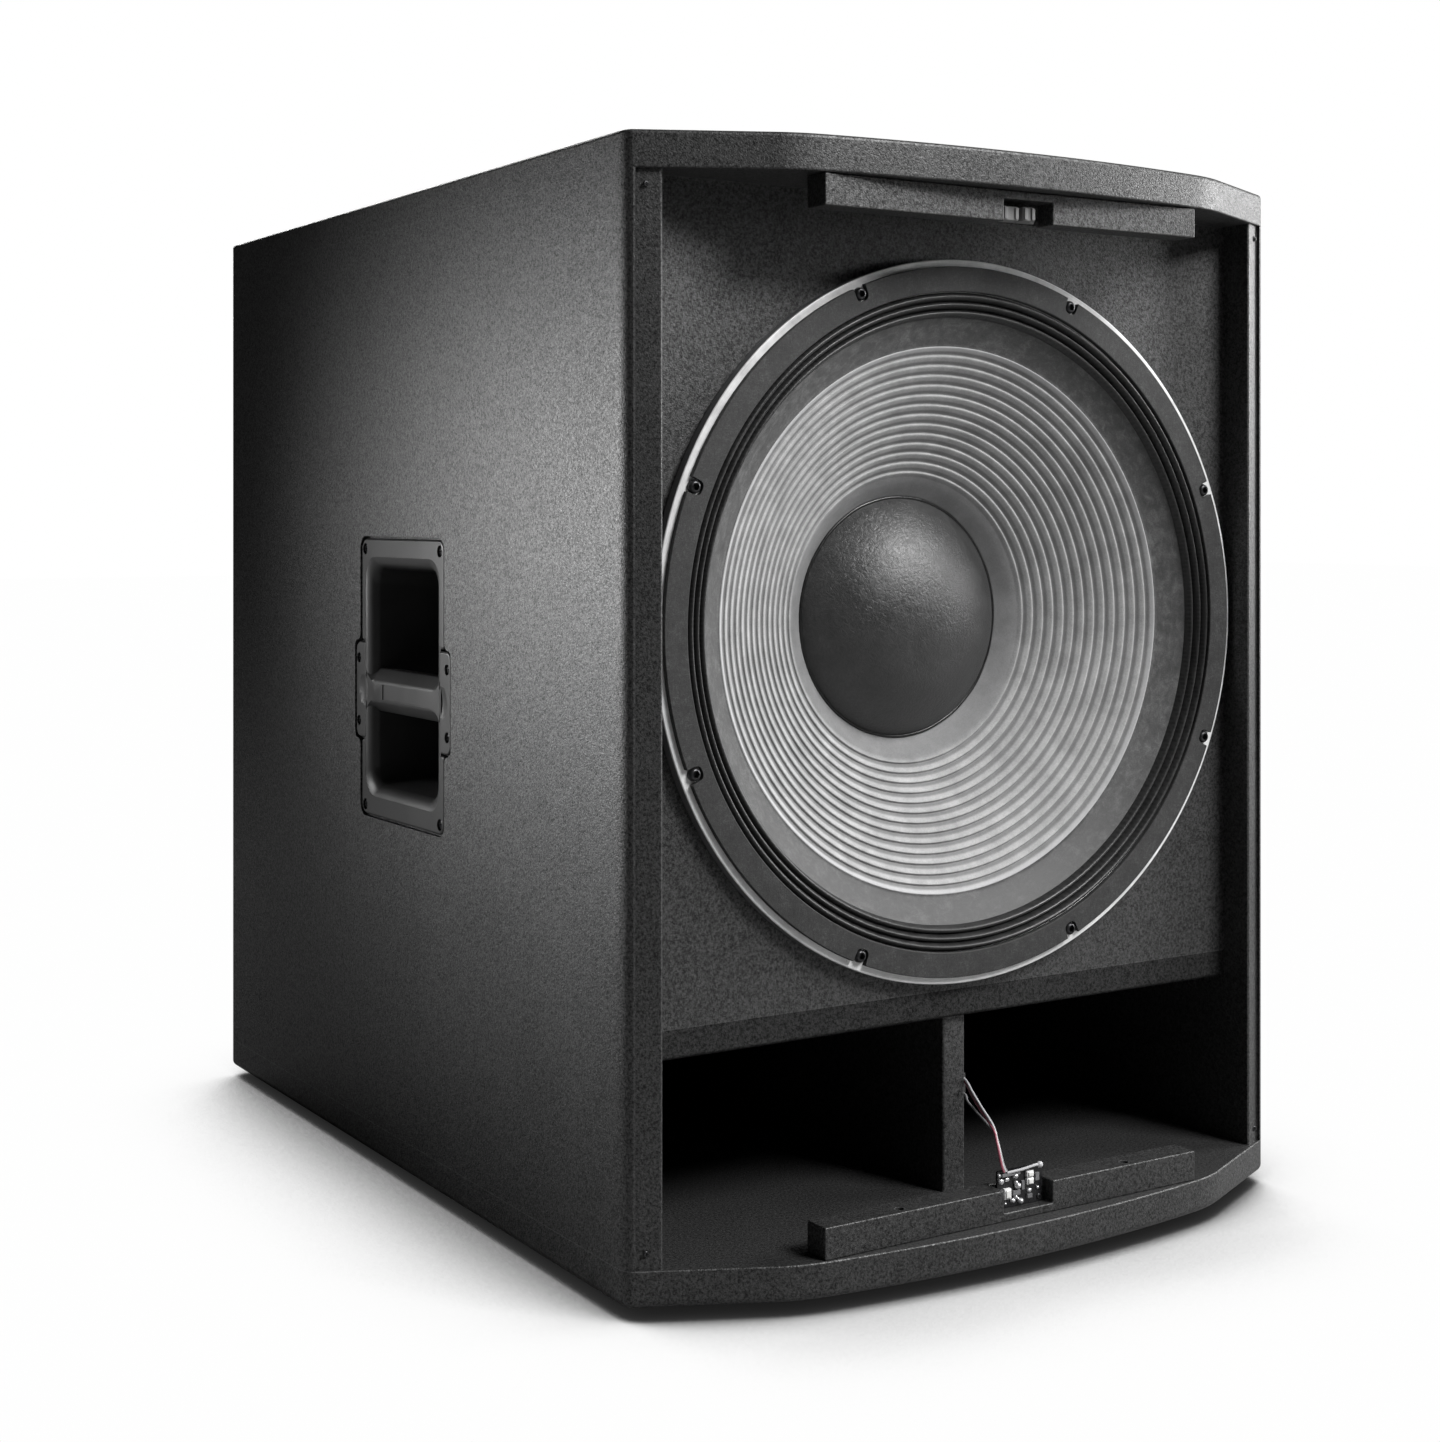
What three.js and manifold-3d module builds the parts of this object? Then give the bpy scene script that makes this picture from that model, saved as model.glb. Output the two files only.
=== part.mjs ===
// Powered bass-reflex subwoofer cabinet: a single 18-inch driver above a twin slot port, in a
// bow-fronted plywood box with a powered amplifier panel in the recessed back. The front grille
// is off, so its battens, the light board and the driver are open to view.
// Millimetres. +Z is up, the front faces -Y, +X is to the right seen from the front. The origin
// is the middle of the footprint, on the plane of the underside of the rubber feet.
import * as THREE from "three";
import { mergeVertices } from "three/addons/utils/BufferGeometryUtils.js";
import Module from "manifold-3d";

const wasm = await Module();
wasm.setup();

// ---------------------------------------------------------------- ranges, as [low, high]
const around = (middle, half) => [middle - half, middle + half];
const centred = (half) => [-half, half];
const grown = ([low, high], by) => [low - by, high + by];
const span = ([low, high]) => high - low;

// ---------------------------------------------------------------- box dimensions
// Depths (y) run from the front corners, heights (z) from the underside of the wooden box.
const WIDTH = 512; // over the side panels
const HEIGHT = 680; // wooden box, without feet
const SIDE_DEPTH = 660; // front corner to back edge
const BOW = 58.5; // how far the middle of the front runs ahead of the front corners
const BOW_RADIUS = 1000;
const PLY = 22; // panel thickness
const FOOT_HEIGHT = 8;
const HALF_WIDTH = WIDTH / 2;
const INNER_X = HALF_WIDTH - PLY; // inner face of a side panel
const CEILING = HEIGHT - PLY; // underside of the top panel
const SIDES = [["left", -1], ["right", 1]]; // name, sign of x

// plan of the bowed front, right half, from the middle outwards: x, y
const FRONT_HALF = [
  // shallow arc
  ...[0, 37, 75, 112, 147].map((x) => [x, -BOW + x ** 2 / (2 * BOW_RADIUS)]),
  // bend into the angled facet
  [157, -46.0], [167, -42.8], [176, -39.2],
  // end of the facet and the rounded corner
  [249, -4.2], [253.4, -1.0], [HALF_WIDTH, 4.5],
];
// plan of the right side panel, with a lip and a shallow rabbet on its front edge: x, y
const SIDE_PLAN = [
  [INNER_X, SIDE_DEPTH],
  [INNER_X, -9], [250, -1], [250, -4.4], [253.4, -1.2], [HALF_WIDTH, 4.5],
  [HALF_WIDTH, SIDE_DEPTH],
];

const BAFFLE_Y = 15; // front face of the baffle
const BAFFLE_DEPTHS = [BAFFLE_Y, BAFFLE_Y + PLY];
const PORT_TOP = 135; // ceiling of the duct
const SHELF = 18; // thickness of the duct shelf, divider and brace
const SHELF_TOP = PORT_TOP + SHELF;
const DUCT_END = 470;
const BRACE_Y = 402;
const REAR_Y = 608; // front face of the recessed rear panel
const REAR_OPENING = { x: centred(124), z: [211, 559] };

const HANDLE_Y = 315;
const HANDLE = {
  bezelY: around(HANDLE_Y, 71),
  bezelZ: [241, 441],
  waistY: around(HANDLE_Y, 81), // wider band across the middle of the bezel
  waistZ: [296, 366],
  pocketY: around(HANDLE_Y, 62),
  pocketZ: [257, 426],
  pocketDepth: 70,
  taperY: 10, // how far each wall leans in from mouth to floor
  taperZ: 13,
  wall: 2.5,
  bezel: [0.5, 4], // depths in from the outer face of the side panel
  gripZ: [316, 347],
  gripDepth: 16,
  gap: 0.3, // between the grip bar and the cup
};

const SOCKET = { y: 320, bore: 18, tube: 21.5, flange: 38, depth: 90, wall: 3, sides: 24 };

// ---------------------------------------------------------------- driver dimensions
const DRIVER_Z = 389.3;
const DRIVER_SIDES = 40; // facets round the driver
const CUTOUT_R = 213;
const RIM_Y = 7; // front of the cast flange
const COIL_R = 50.2; // inner radius of the voice coil former
const TOP_PLATE = [158, 168];
const MAGNET = [168, 206];
const BACK_PLATE = [206, 216];
const BOLT_CIRCLE = 221.7;
const BOLTS = Array.from({ length: 8 }, (_, i) => {
  const angle = Math.PI / 8 + (i * Math.PI) / 4;
  const [x, z] = polar(BOLT_CIRCLE, angle);
  return { degrees: THREE.MathUtils.radToDeg(angle), x, z };
});

// ---------------------------------------------------------------- amplifier dimensions
const PLATE = { x: centred(140), y: [630, 633], z: [195, 575] };
const FACE = PLATE.y[1]; // outer face of the plate, towards the back
// places on the plate: name or side as seen from behind, x, z
const INPUT_JACKS = [["left", 85, 350], ["right", 45, 350]];
const OUTPUT_JACKS = [["left", 85, 300], ["right", 45, 300]];
const JACKS = [...INPUT_JACKS, ...OUTPUT_JACKS];
const KNOBS = [["level_knob", 0, 350], ["crossover_knob", 0, 300]];
const BUTTONS = [["phase_button", -50, 350], ["ground_lift_button", -50, 300]];
const MAINS = { x: -90, z: 237, halfWidth: 27, halfHeight: 19 };
const ROCKER_TILT = 8; // degrees from the middle position
const FINS = { count: 21, pitch: 12.4, thickness: 2, base: 3, reach: 22, z: [400, 562] };

// ---------------------------------------------------------------- finishes
const FINISH = {
  blackPaint: { color: 0x2b2b2c, roughness: 0.72, metalness: 0 },
  barePly: { color: 0x8a6a45, roughness: 0.8, metalness: 0 },
  moulded: { color: 0x222223, roughness: 0.55, metalness: 0 },
  castMetal: { color: 0xb9babb, roughness: 0.35, metalness: 0.9 },
  darkMetal: { color: 0x1d1d1e, roughness: 0.45, metalness: 0.7 },
  paper: { color: 0x6f7072, roughness: 0.85, metalness: 0 },
  cloth: { color: 0x232325, roughness: 0.95, metalness: 0 },
  rubber: { color: 0x18181a, roughness: 0.9, metalness: 0 },
  redCable: { color: 0xa03a48, roughness: 0.5, metalness: 0 },
  coil: { color: 0xa5652e, roughness: 0.4, metalness: 0.8 },
  spider: { color: 0xb08a4a, roughness: 0.9, metalness: 0 },
  magnet: { color: 0x2a2a2b, roughness: 0.6, metalness: 0.2 },
  ampPlate: { color: 0x242425, roughness: 0.5, metalness: 0.5 },
  heatsink: { color: 0x1c1c1d, roughness: 0.45, metalness: 0.8 },
  housing: { color: 0x8d8f91, roughness: 0.4, metalness: 0.9 },
  circuitBoard: { color: 0x1f5a35, roughness: 0.6, metalness: 0 },
  transformer: { color: 0xa5652e, roughness: 0.5, metalness: 0.6 },
  releaseTab: { color: 0x9fa1a3, roughness: 0.35, metalness: 0.9 },
};

// ---------------------------------------------------------------- solids
// a closed three.js geometry as a solid, with shared corners merged and faces turned outwards
function solid(geometry) {
  const loose = geometry.index ? geometry.toNonIndexed() : geometry;
  const bare = new THREE.BufferGeometry();
  bare.setAttribute("position", loose.getAttribute("position"));
  const merged = mergeVertices(bare, 1e-4);
  const corners = merged.index.array;
  const triangles = [];
  for (let i = 0; i < corners.length; i += 3) {
    const [a, b, c] = corners.slice(i, i + 3);
    if (a !== b && b !== c && a !== c) triangles.push([a, b, c]);
  }
  const build = (faces) =>
    new wasm.Manifold(
      new wasm.Mesh({
        numProp: 3,
        vertProperties: merged.attributes.position.array,
        triVerts: new Uint32Array(faces.flat()),
      }),
    );
  const made = build(triangles);
  return made.volume() >= 0 ? made : build(triangles.map(([a, b, c]) => [a, c, b]));
}

// a solid as a flat-shaded geometry
function geometryOf(manifold) {
  const { vertProperties, triVerts } = manifold.getMesh();
  const indexed = new THREE.BufferGeometry();
  indexed.setAttribute("position", new THREE.BufferAttribute(vertProperties, 3));
  indexed.setIndex(new THREE.BufferAttribute(triVerts, 1));
  const flat = indexed.toNonIndexed();
  flat.computeVertexNormals();
  return flat;
}

const union = (...parts) => parts.reduce((a, b) => a.add(b));
const cut = (from, ...tools) => tools.reduce((a, b) => a.subtract(b), from);
const at = (x, z, part) => part.translate([x, 0, z]);

// a block from its three ranges
const box = ([x0, x1], [y0, y1], [z0, z1]) =>
  solid(
    new THREE.BoxGeometry(x1 - x0, y1 - y0, z1 - z0).translate(
      (x0 + x1) / 2,
      (y0 + y1) / 2,
      (z0 + z1) / 2,
    ),
  );
// several blocks joined, one row of x, y and z ranges each
const blocks = (rows) => union(...rows.map((ranges) => box(...ranges)));

const shapeOf = (outline) => new THREE.Shape(outline.map(([a, b]) => new THREE.Vector2(a, b)));

// an outline extruded along a range; place(a, b, along) gives the x, y, z of each corner
function prism(outline, [start, end], place) {
  const settings = { depth: end - start, bevelEnabled: false, steps: 1 };
  const geometry = new THREE.ExtrudeGeometry(shapeOf(outline), settings);
  const corners = geometry.getAttribute("position");
  for (let i = 0; i < corners.count; i++) {
    const along = start + corners.getZ(i);
    corners.setXYZ(i, ...place(corners.getX(i), corners.getY(i), along));
  }
  return solid(geometry);
}
const prismX = (outline, range) => prism(outline, range, (y, z, x) => [x, y, z]);
const prismY = (outline, range) => prism(outline, range, (x, z, y) => [x, y, z]);
const prismZ = (outline, range) => prism(outline, range, (x, y, z) => [x, y, z]);

function polar(radius, angle) {
  return [radius * Math.cos(angle), radius * Math.sin(angle)];
}
const ring = (radius, sides) =>
  Array.from({ length: sides }, (_, i) => polar(radius, (2 * Math.PI * i) / sides));

// a rectangle with rounded corners, with straight steps in each corner
function rounded([a0, a1], [b0, b1], radius, steps = 3) {
  const corners = [
    [a1 - radius, b0 + radius, -90],
    [a1 - radius, b1 - radius, 0],
    [a0 + radius, b1 - radius, 90],
    [a0 + radius, b0 + radius, 180],
  ];
  const outline = [];
  for (const [middleA, middleB, from] of corners)
    for (let i = 0; i <= steps; i++) {
      const [a, b] = polar(radius, THREE.MathUtils.degToRad(from + (90 * i) / steps));
      outline.push([middleA + a, middleB + b]);
    }
  return outline;
}

// an upright disc, its axis along Y
const disc = (radius, depths, sides, x = 0, z = 0) => at(x, z, prismY(ring(radius, sides), depths));

const lathe = (profile, sides) =>
  new THREE.LatheGeometry([...profile, profile[0]].map(([r, h]) => new THREE.Vector2(r, h)), sides);
// a profile of [radius, y] turned about the Y axis
const turned = (profile, sides = DRIVER_SIDES) => solid(lathe(profile, sides));
// a profile of [radius, z] turned about the Z axis
const turnedZ = (profile, sides) => solid(lathe(profile, sides).rotateX(Math.PI / 2));
// a plain ring about the Y axis
const tube = (inner, outer, [y0, y1]) =>
  turned([[inner, y0], [outer, y0], [outer, y1], [inner, y1]]);
// a turned sheet through [radius, y] points, thickened towards +Y
const skin = (points, thickness) =>
  turned([...points, ...[...points].reverse().map(([r, y]) => [r, y + thickness])]);

// a round cable through x, y, z points
const cable = (points, radius, sides, steps) =>
  solid(
    new THREE.ExtrudeGeometry(shapeOf(ring(radius, sides)), {
      extrudePath: new THREE.CatmullRomCurve3(points.map((p) => new THREE.Vector3(...p))),
      steps,
      bevelEnabled: false,
    }),
  );

// ---------------------------------------------------------------- scene graph
const subwoofer = new THREE.Group();
const cabinet = new THREE.Group();
cabinet.position.set(0, -(SIDE_DEPTH - BOW) / 2, FOOT_HEIGHT);
subwoofer.add(cabinet);
const driver = new THREE.Group();
driver.position.set(0, 0, DRIVER_Z);
const amplifier = new THREE.Group();
cabinet.add(driver, amplifier);

function put(group, name, manifold, finish) {
  const mesh = new THREE.Mesh(geometryOf(manifold), new THREE.MeshStandardMaterial(finish));
  mesh.name = name;
  group.add(mesh);
}

// ---------------------------------------------------------------- box panels
// an outline on the side given by the sign
const onSide = (outline, sign) => outline.map(([x, y]) => [sign * x, y]);
// x range between two depths in from the outer face of a side panel
const inFrom = (sign, near, far) =>
  sign > 0 ? [HALF_WIDTH - far, HALF_WIDTH - near] : [-HALF_WIDTH + near, -HALF_WIDTH + far];

const BOX_PLAN = [
  ...onSide(FRONT_HALF.slice(1), -1).reverse(),
  ...FRONT_HALF,
  [HALF_WIDTH, SIDE_DEPTH],
  [-HALF_WIDTH, SIDE_DEPTH],
];

function topPanel() {
  const hole = (radius, bottom) =>
    prismZ(ring(radius, SOCKET.sides), [bottom, HEIGHT + 1]).translate([0, SOCKET.y, 0]);
  return cut(
    prismZ(BOX_PLAN, [CEILING, HEIGHT]),
    hole(SOCKET.tube + 0.6, CEILING - 1),
    hole(SOCKET.flange + 0.5, HEIGHT - SOCKET.wall),
  );
}

function sidePanel(sign) {
  const { bezelY, bezelZ, waistY, waistZ, pocketY, pocketZ, bezel } = HANDLE;
  const seatX = inFrom(sign, -1, bezel[1]);
  const seat = (y, z) => box(seatX, grown(y, 0.6), grown(z, 0.6));
  const pocketHole = rounded(grown(pocketY, 3), grown(pocketZ, 3), 14);
  return cut(
    prismZ(onSide(SIDE_PLAN, sign), [PLY, CEILING]),
    prismX(pocketHole, inFrom(sign, -1, PLY + 1)),
    seat(bezelY, bezelZ),
    seat(waistY, waistZ),
  );
}

function rearPanel() {
  const depths = [REAR_Y, REAR_Y + PLY];
  return cut(
    box(centred(INNER_X), depths, [PLY, CEILING]),
    box(REAR_OPENING.x, grown(depths, 1), REAR_OPENING.z),
  );
}

function baffleBoard() {
  const through = grown(BAFFLE_DEPTHS, 1);
  return cut(
    box(centred(INNER_X), BAFFLE_DEPTHS, [SHELF_TOP, CEILING]),
    disc(CUTOUT_R, through, DRIVER_SIDES, 0, DRIVER_Z),
    ...BOLTS.map(({ x, z }) => disc(3.2, through, 10, x, DRIVER_Z + z)),
  );
}

// brace across the box with two rounded windows
function windowBrace() {
  const depths = [BRACE_Y, BRACE_Y + SHELF];
  const opening = (x) => prismY(rounded(x, [200, 610], 30, 2), grown(depths, 1));
  return cut(
    box(centred(INNER_X), depths, [SHELF_TOP, CEILING]),
    opening([-180, -20]),
    opening([20, 180]),
  );
}

put(cabinet, "top_panel", topPanel(), FINISH.blackPaint);
put(cabinet, "bottom_panel", prismZ(BOX_PLAN, [0, PLY]), FINISH.blackPaint);
for (const [side, sign] of SIDES)
  put(cabinet, `${side}_side_panel`, sidePanel(sign), FINISH.blackPaint);
put(cabinet, "rear_panel", rearPanel(), FINISH.blackPaint);
put(cabinet, "baffle_board", baffleBoard(), FINISH.blackPaint);
put(
  cabinet,
  "port_shelf",
  box(centred(INNER_X), [BAFFLE_Y, DUCT_END], [PORT_TOP, SHELF_TOP]),
  FINISH.blackPaint,
);
put(
  cabinet,
  "port_divider",
  box(centred(SHELF / 2), [BAFFLE_Y + 5, DUCT_END], [PLY, PORT_TOP]),
  FINISH.blackPaint,
);
put(cabinet, "window_brace", windowBrace(), FINISH.barePly);

// ---------------------------------------------------------------- grille battens, light board
// place, z range of the batten, z range of its notch
const BATTENS = [
  ["upper", [638.5, CEILING], [630, 652.5]],
  ["lower", [PLY, 41.2], [27.2, 50]],
];
for (const [place, z, notchZ] of BATTENS) {
  const batten = box(centred(147), [-46.6, -27.5], z);
  const notch = box([-13, 26], [-50, -31.6], notchZ);
  put(cabinet, `${place}_grille_batten`, cut(batten, notch), FINISH.blackPaint);
}

// stands in the notch of the upper batten: x, y, z ranges
const CATCH_BLOCKS = [
  [[-11.5, 21], [-34.5, -31.9], [640, 649.5]], // backing strip
  [[-11.5, 1.2], [-44.5, -34], [639.6, 648.6]],
  [[4.4, 14.4], [-44.5, -34], [640, 649]],
];
put(cabinet, "upper_grille_catch", blocks(CATCH_BLOCKS), FINISH.moulded);

// stands in the notch of the lower batten: x, y, z ranges
const LED_BLOCKS = [
  [[-12.6, 24], [-39, -37.4], [27.4, 51]], // board
  [[-8.2, -3.2], [-42, -38.5], [33.4, 39.6]], // four light blocks
  [[0.6, 5.6], [-41, -38.5], [37.6, 42]],
  [[9.6, 15.4], [-42, -38.5], [39.6, 47.8]],
  [[9.8, 14.4], [-41, -38.5], [32.6, 36]],
  [[-12.2, 20], [-41.4, -38.5], [46.8, 49.4]], // top header
];
put(cabinet, "led_board", blocks(LED_BLOCKS), FINISH.moulded);

const LED_CABLE_PATH = [
  [0, -35.4, 49.5], [0.5, -34, 60], [4, -24, 74],
  [9, -6, 86], [11.2, 12, 91], [11.2, 30, 92],
];
put(cabinet, "led_cable", cable(LED_CABLE_PATH, 1.6, 6, 12), FINISH.redCable);

// ---------------------------------------------------------------- handles
// the pocket as a solid that narrows inwards between two depths from the outer face;
// its mouth and floor are grown beyond the pocket's own
function funnel(sign, mouthGrowth, floorGrowth, depths) {
  const { pocketY, pocketZ, taperY, taperZ } = HANDLE;
  const mouthY = grown(pocketY, mouthGrowth);
  const mouthZ = grown(pocketZ, mouthGrowth);
  const scaleY = span(grown(pocketY, floorGrowth - taperY)) / span(mouthY);
  const scaleZ = span(grown(pocketZ, floorGrowth - taperZ)) / span(mouthZ);
  const middleY = (mouthY[0] + mouthY[1]) / 2;
  const middleZ = (mouthZ[0] + mouthZ[1]) / 2;
  const halfway = (depths[0] + depths[1]) / 2;
  return prism(rounded(mouthY, mouthZ, 12), depths, (y, z, depth) => {
    const isFloor = depth > halfway;
    return [
      sign * (HALF_WIDTH - depth),
      middleY + (y - middleY) * (isFloor ? scaleY : 1),
      middleZ + (z - middleZ) * (isFloor ? scaleZ : 1),
    ];
  });
}

function handleCup(sign) {
  const { bezelY, bezelZ, waistZ, pocketY, pocketDepth, wall, bezel, gripZ, gripDepth, gap } =
    HANDLE;
  const bezelX = inFrom(sign, ...bezel);
  return cut(
    union(
      box(bezelX, bezelY, [bezelZ[0], waistZ[0] - gap]),
      box(bezelX, bezelY, [waistZ[1] + gap, bezelZ[1]]),
      funnel(sign, wall, wall, [bezel[0], pocketDepth + wall]),
    ),
    funnel(sign, 0.2, 0, [-1, pocketDepth]),
    // room for the waist plates and the grip bar
    box(inFrom(sign, -2, bezel[1] + gap), grown(pocketY, 2.9), grown(waistZ, gap)),
    box(inFrom(sign, -2, gripDepth + 2.3), grown(pocketY, 4), grown(gripZ, gap)),
  );
}

function gripBar(sign) {
  const { waistY, waistZ, pocketY, bezel, gripZ, gripDepth, gap } = HANDLE;
  const bezelX = inFrom(sign, ...bezel);
  return blocks([
    [bezelX, [waistY[0], pocketY[0] - gap], waistZ],
    [bezelX, [pocketY[1] + gap, waistY[1]], waistZ],
    [bezelX, grown(waistY, -4), gripZ],
    [inFrom(sign, bezel[0], gripDepth), grown(pocketY, 2.5), gripZ],
  ]);
}

for (const [side, sign] of SIDES) {
  put(cabinet, `${side}_handle_cup`, handleCup(sign), FINISH.moulded);
  put(cabinet, `${side}_grip_bar`, gripBar(sign), FINISH.moulded);
}

// ---------------------------------------------------------------- driver
// flange, skirt through the cutout, conical frame, spider seat and motor seat: radius, y
const BASKET_PROFILE = [
  [231, RIM_Y], [231, BAFFLE_Y], [211.5, BAFFLE_Y], [211.5, 36],
  [124, 150], [124, TOP_PLATE[0]], [56, TOP_PLATE[0]], [56, 151],
  [108, 151], [108, 125], [134, 125], [205, 34],
  [205, 22], [209.9, 14], [209.9, RIM_Y],
];
const BOLT_PROFILE = [
  [0, 3.2], [2.2, 3.2], [4.3, 3.2], [4.3, RIM_Y], [2.5, RIM_Y], [2.5, 44], [0, 44],
];
const SURROUND_PROFILE = [
  [194.4, 11.6], [196.9, 7.4], [199.4, 10.6], [202, 5.2], [204.4, 8.6], [206.8, 3.8], [209.6, 5.8],
];
const CONE_PROFILE = [[51.6, 100], [80, 80], [95, 68], [175.4, 23.5], [194, 12]];
const SPIDER_PROFILE = [
  [51.6, 121], [62, 121], [76, 117], [91, 122.5], [109, 123.7], [130, 123.7],
];
// a thin former that steps out to a thicker winding
const COIL_PROFILE = [
  [COIL_R, 98], [COIL_R + 1, 98], [COIL_R + 1, 146],
  [COIL_R + 2.2, 146], [COIL_R + 2.2, 180], [COIL_R, 180],
];
// front part with the bore, then the back plate behind the magnet
const POLE_PROFILE = [
  [15, 157], [COIL_R - 1.2, 157], [COIL_R - 1.2, BACK_PLATE[0]],
  [106, BACK_PLATE[0]], [106, BACK_PLATE[1]], [15, BACK_PLATE[1]],
];
const TERMINAL_BLOCKS = [
  [centred(16), [158, 161], [113, 124]],
  [centred(16), [147, 161], [127, 136]],
  [centred(16), [158, 161], [123, 128]],
];

// eight windows between the bolts' radial lines would miss: each is centred on a bolt's line
function driverBasket() {
  const opening = box(centred(43), [50, 116], [128, 240]);
  return cut(
    turned(BASKET_PROFILE),
    ...BOLTS.map(({ degrees }) => opening.rotate([0, degrees, 0])),
    ...BOLTS.map(({ x, z }) => disc(3, grown([RIM_Y, BAFFLE_Y], 1), 10, x, z)),
  );
}

// notched from its outer edge at each bolt
function gasketRing() {
  const notch = box([216.5, 240], [RIM_Y - 10, RIM_Y + 1], centred(4.9));
  return cut(
    tube(210, 226.5, [3.5, RIM_Y]),
    ...BOLTS.map(({ degrees }) => notch.rotate([0, -degrees, 0])),
  );
}

// shallow spherical cap, bulging forwards
function dustCap() {
  const edgeRadius = 79.5;
  const edgeY = 79.5;
  const rise = 38;
  const sphere = (edgeRadius ** 2 + rise ** 2) / (2 * rise);
  const depthAt = (r) => edgeY - rise + (sphere - Math.sqrt(sphere ** 2 - r ** 2));
  return turned([
    ...[0, 20, 38, 54, 68, edgeRadius].map((r) => [r, depthAt(r)]),
    [edgeRadius - 1.6, edgeY + 0.3],
    ...[67, 53, 37.5, 20, 0].map((r) => [r, depthAt(r) + 1.3]),
  ]);
}

put(driver, "driver_basket", driverBasket(), FINISH.castMetal);
put(driver, "gasket_ring", gasketRing(), FINISH.rubber);
BOLTS.forEach(({ x, z }, i) =>
  put(driver, `driver_bolt_${i + 1}`, at(x, z, turned(BOLT_PROFILE, 8)), FINISH.darkMetal),
);
put(driver, "surround", skin(SURROUND_PROFILE, 1.1), FINISH.cloth);
put(driver, "cone", skin(CONE_PROFILE, 2.5), FINISH.paper);
put(driver, "dust_cap", dustCap(), FINISH.paper);
put(driver, "voice_coil", turned(COIL_PROFILE), FINISH.coil);
put(driver, "spider", skin(SPIDER_PROFILE, 1.1), FINISH.spider);
put(driver, "top_plate", tube(COIL_R + 3.4, 112, TOP_PLATE), FINISH.darkMetal);
put(driver, "magnet", tube(60, 110, MAGNET), FINISH.magnet);
put(driver, "pole_piece", turned(POLE_PROFILE), FINISH.darkMetal);
put(driver, "terminal_block", blocks(TERMINAL_BLOCKS), FINISH.moulded);

// ---------------------------------------------------------------- amplifier
// one copy of a part at each place in a table of name, x, z
const atEach = (places, part) => places.map(([, x, z]) => at(x, z, part));

function ampPlate() {
  const through = grown(PLATE.y, 1);
  const mainsX = around(MAINS.x, MAINS.halfWidth + 0.5);
  const mainsZ = around(MAINS.z, MAINS.halfHeight + 0.5);
  return cut(
    box(PLATE.x, PLATE.y, PLATE.z),
    ...atEach(JACKS, union(disc(11.6, through, 16), box(centred(6), through, [0, 15.2]))),
    ...atEach(KNOBS, disc(3.8, through, 12)),
    ...atEach(BUTTONS, disc(4.6, through, 12)),
    box(mainsX, through, mainsZ),
  );
}

// upright fins on a base, seen in plan as a comb
function heatsink() {
  const half = FINS.thickness / 2;
  const last = FINS.count - 1;
  const edge = (last / 2) * FINS.pitch + half;
  const root = FACE + FINS.base;
  const tip = FACE + FINS.reach;
  const comb = [[-edge, FACE], [edge, FACE]];
  for (let i = last; i >= 0; i--) {
    const [left, right] = around((i - last / 2) * FINS.pitch, half);
    if (i < last) comb.push([right, root]);
    comb.push([right, tip], [left, tip]);
    if (i > 0) comb.push([left, root]);
  }
  return prismZ(comb, FINS.z);
}

// sheet box, open towards the plate
const ampHousing = () =>
  cut(
    box(centred(120), [512, PLATE.y[0]], [213.5, 557]),
    box(centred(118), [514, PLATE.y[0] + 1], [215.5, 555]),
  );

function ampCircuitBoard() {
  return union(
    box(centred(112), [598, 599.6], [220, 548]),
    // blocks behind the jacks, knobs and buttons
    ...atEach(JACKS, box(centred(10), [599, 611.4], centred(9))),
    ...atEach(KNOBS, box(centred(7), [599, 611], centred(7))),
    ...atEach(BUTTONS, box(centred(5), [599, 616], centred(5))),
    // three cylinders and a long strip on the inner face
    ...[500, 460, 420].map((z) => disc(15, [560, 598.5], 16, 70, z)),
    box(centred(100), [570, 598.5], [380, 386]),
  );
}

// ring section: radius, y
const TRANSFORMER_PROFILE = [
  [16, 514], [48, 514], [52, 519], [52, 553], [48, 558], [16, 558], [13, 553], [13, 519],
];

// The fittings below are built about x = 0, z = 0 and then moved to their places.
// three round pins or pin holes at the given angles
const threePins = (degrees, circle, radius, depths) =>
  degrees.map((d) => disc(radius, depths, 8, ...polar(circle, THREE.MathUtils.degToRad(d))));

// a flange on the plate with a barrel through it
const jackBody = () =>
  union(box(centred(13), [FACE, FACE + 2], centred(15.5)), disc(11, [612, FACE + 1], 16));

const inputJack = () =>
  cut(
    jackBody(),
    ...threePins([-150, -30, 90], 5, 1.4, [622, FACE + 3]).map((pin) => at(0, -1, pin)),
    box(centred(5.4), [FACE - 22, FACE + 3], [11.2, 14.7]), // slot for the release tab
  );
const releaseTab = () => box(centred(5), [614, FACE + 3.6], [11.6, 14.3]);
const outputJack = () =>
  union(
    cut(jackBody(), disc(9, [618, FACE + 3], 16)),
    ...threePins([150, 30, -90], 4.4, 1.2, [617, 631]),
  );

// fluted knob with a cap, a shaft and a raised pointer
function knob() {
  const flutes = Array.from({ length: 20 }, (_, i) => polar(i % 2 ? 9.2 : 8.6, (Math.PI * i) / 10));
  return union(
    prismY(flutes, [FACE + 0.6, FACE + 13]),
    disc(6.6, [FACE + 12, FACE + 15], 16),
    disc(3, [611.4, FACE + 1], 12),
    box(centred(0.9), [FACE + 1, FACE + 15.4], [3, 9.6]),
  );
}
const button = () => union(disc(4.1, [628, FACE + 5], 16), disc(2, [619, 629], 12));

// receptacle outline with two cut corners: x, z
const RECEPTACLE = [[-24, -8.2], [0, -8.2], [0, 4], [-4, 8.2], [-20, 8.2], [-24, 4]];

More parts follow.
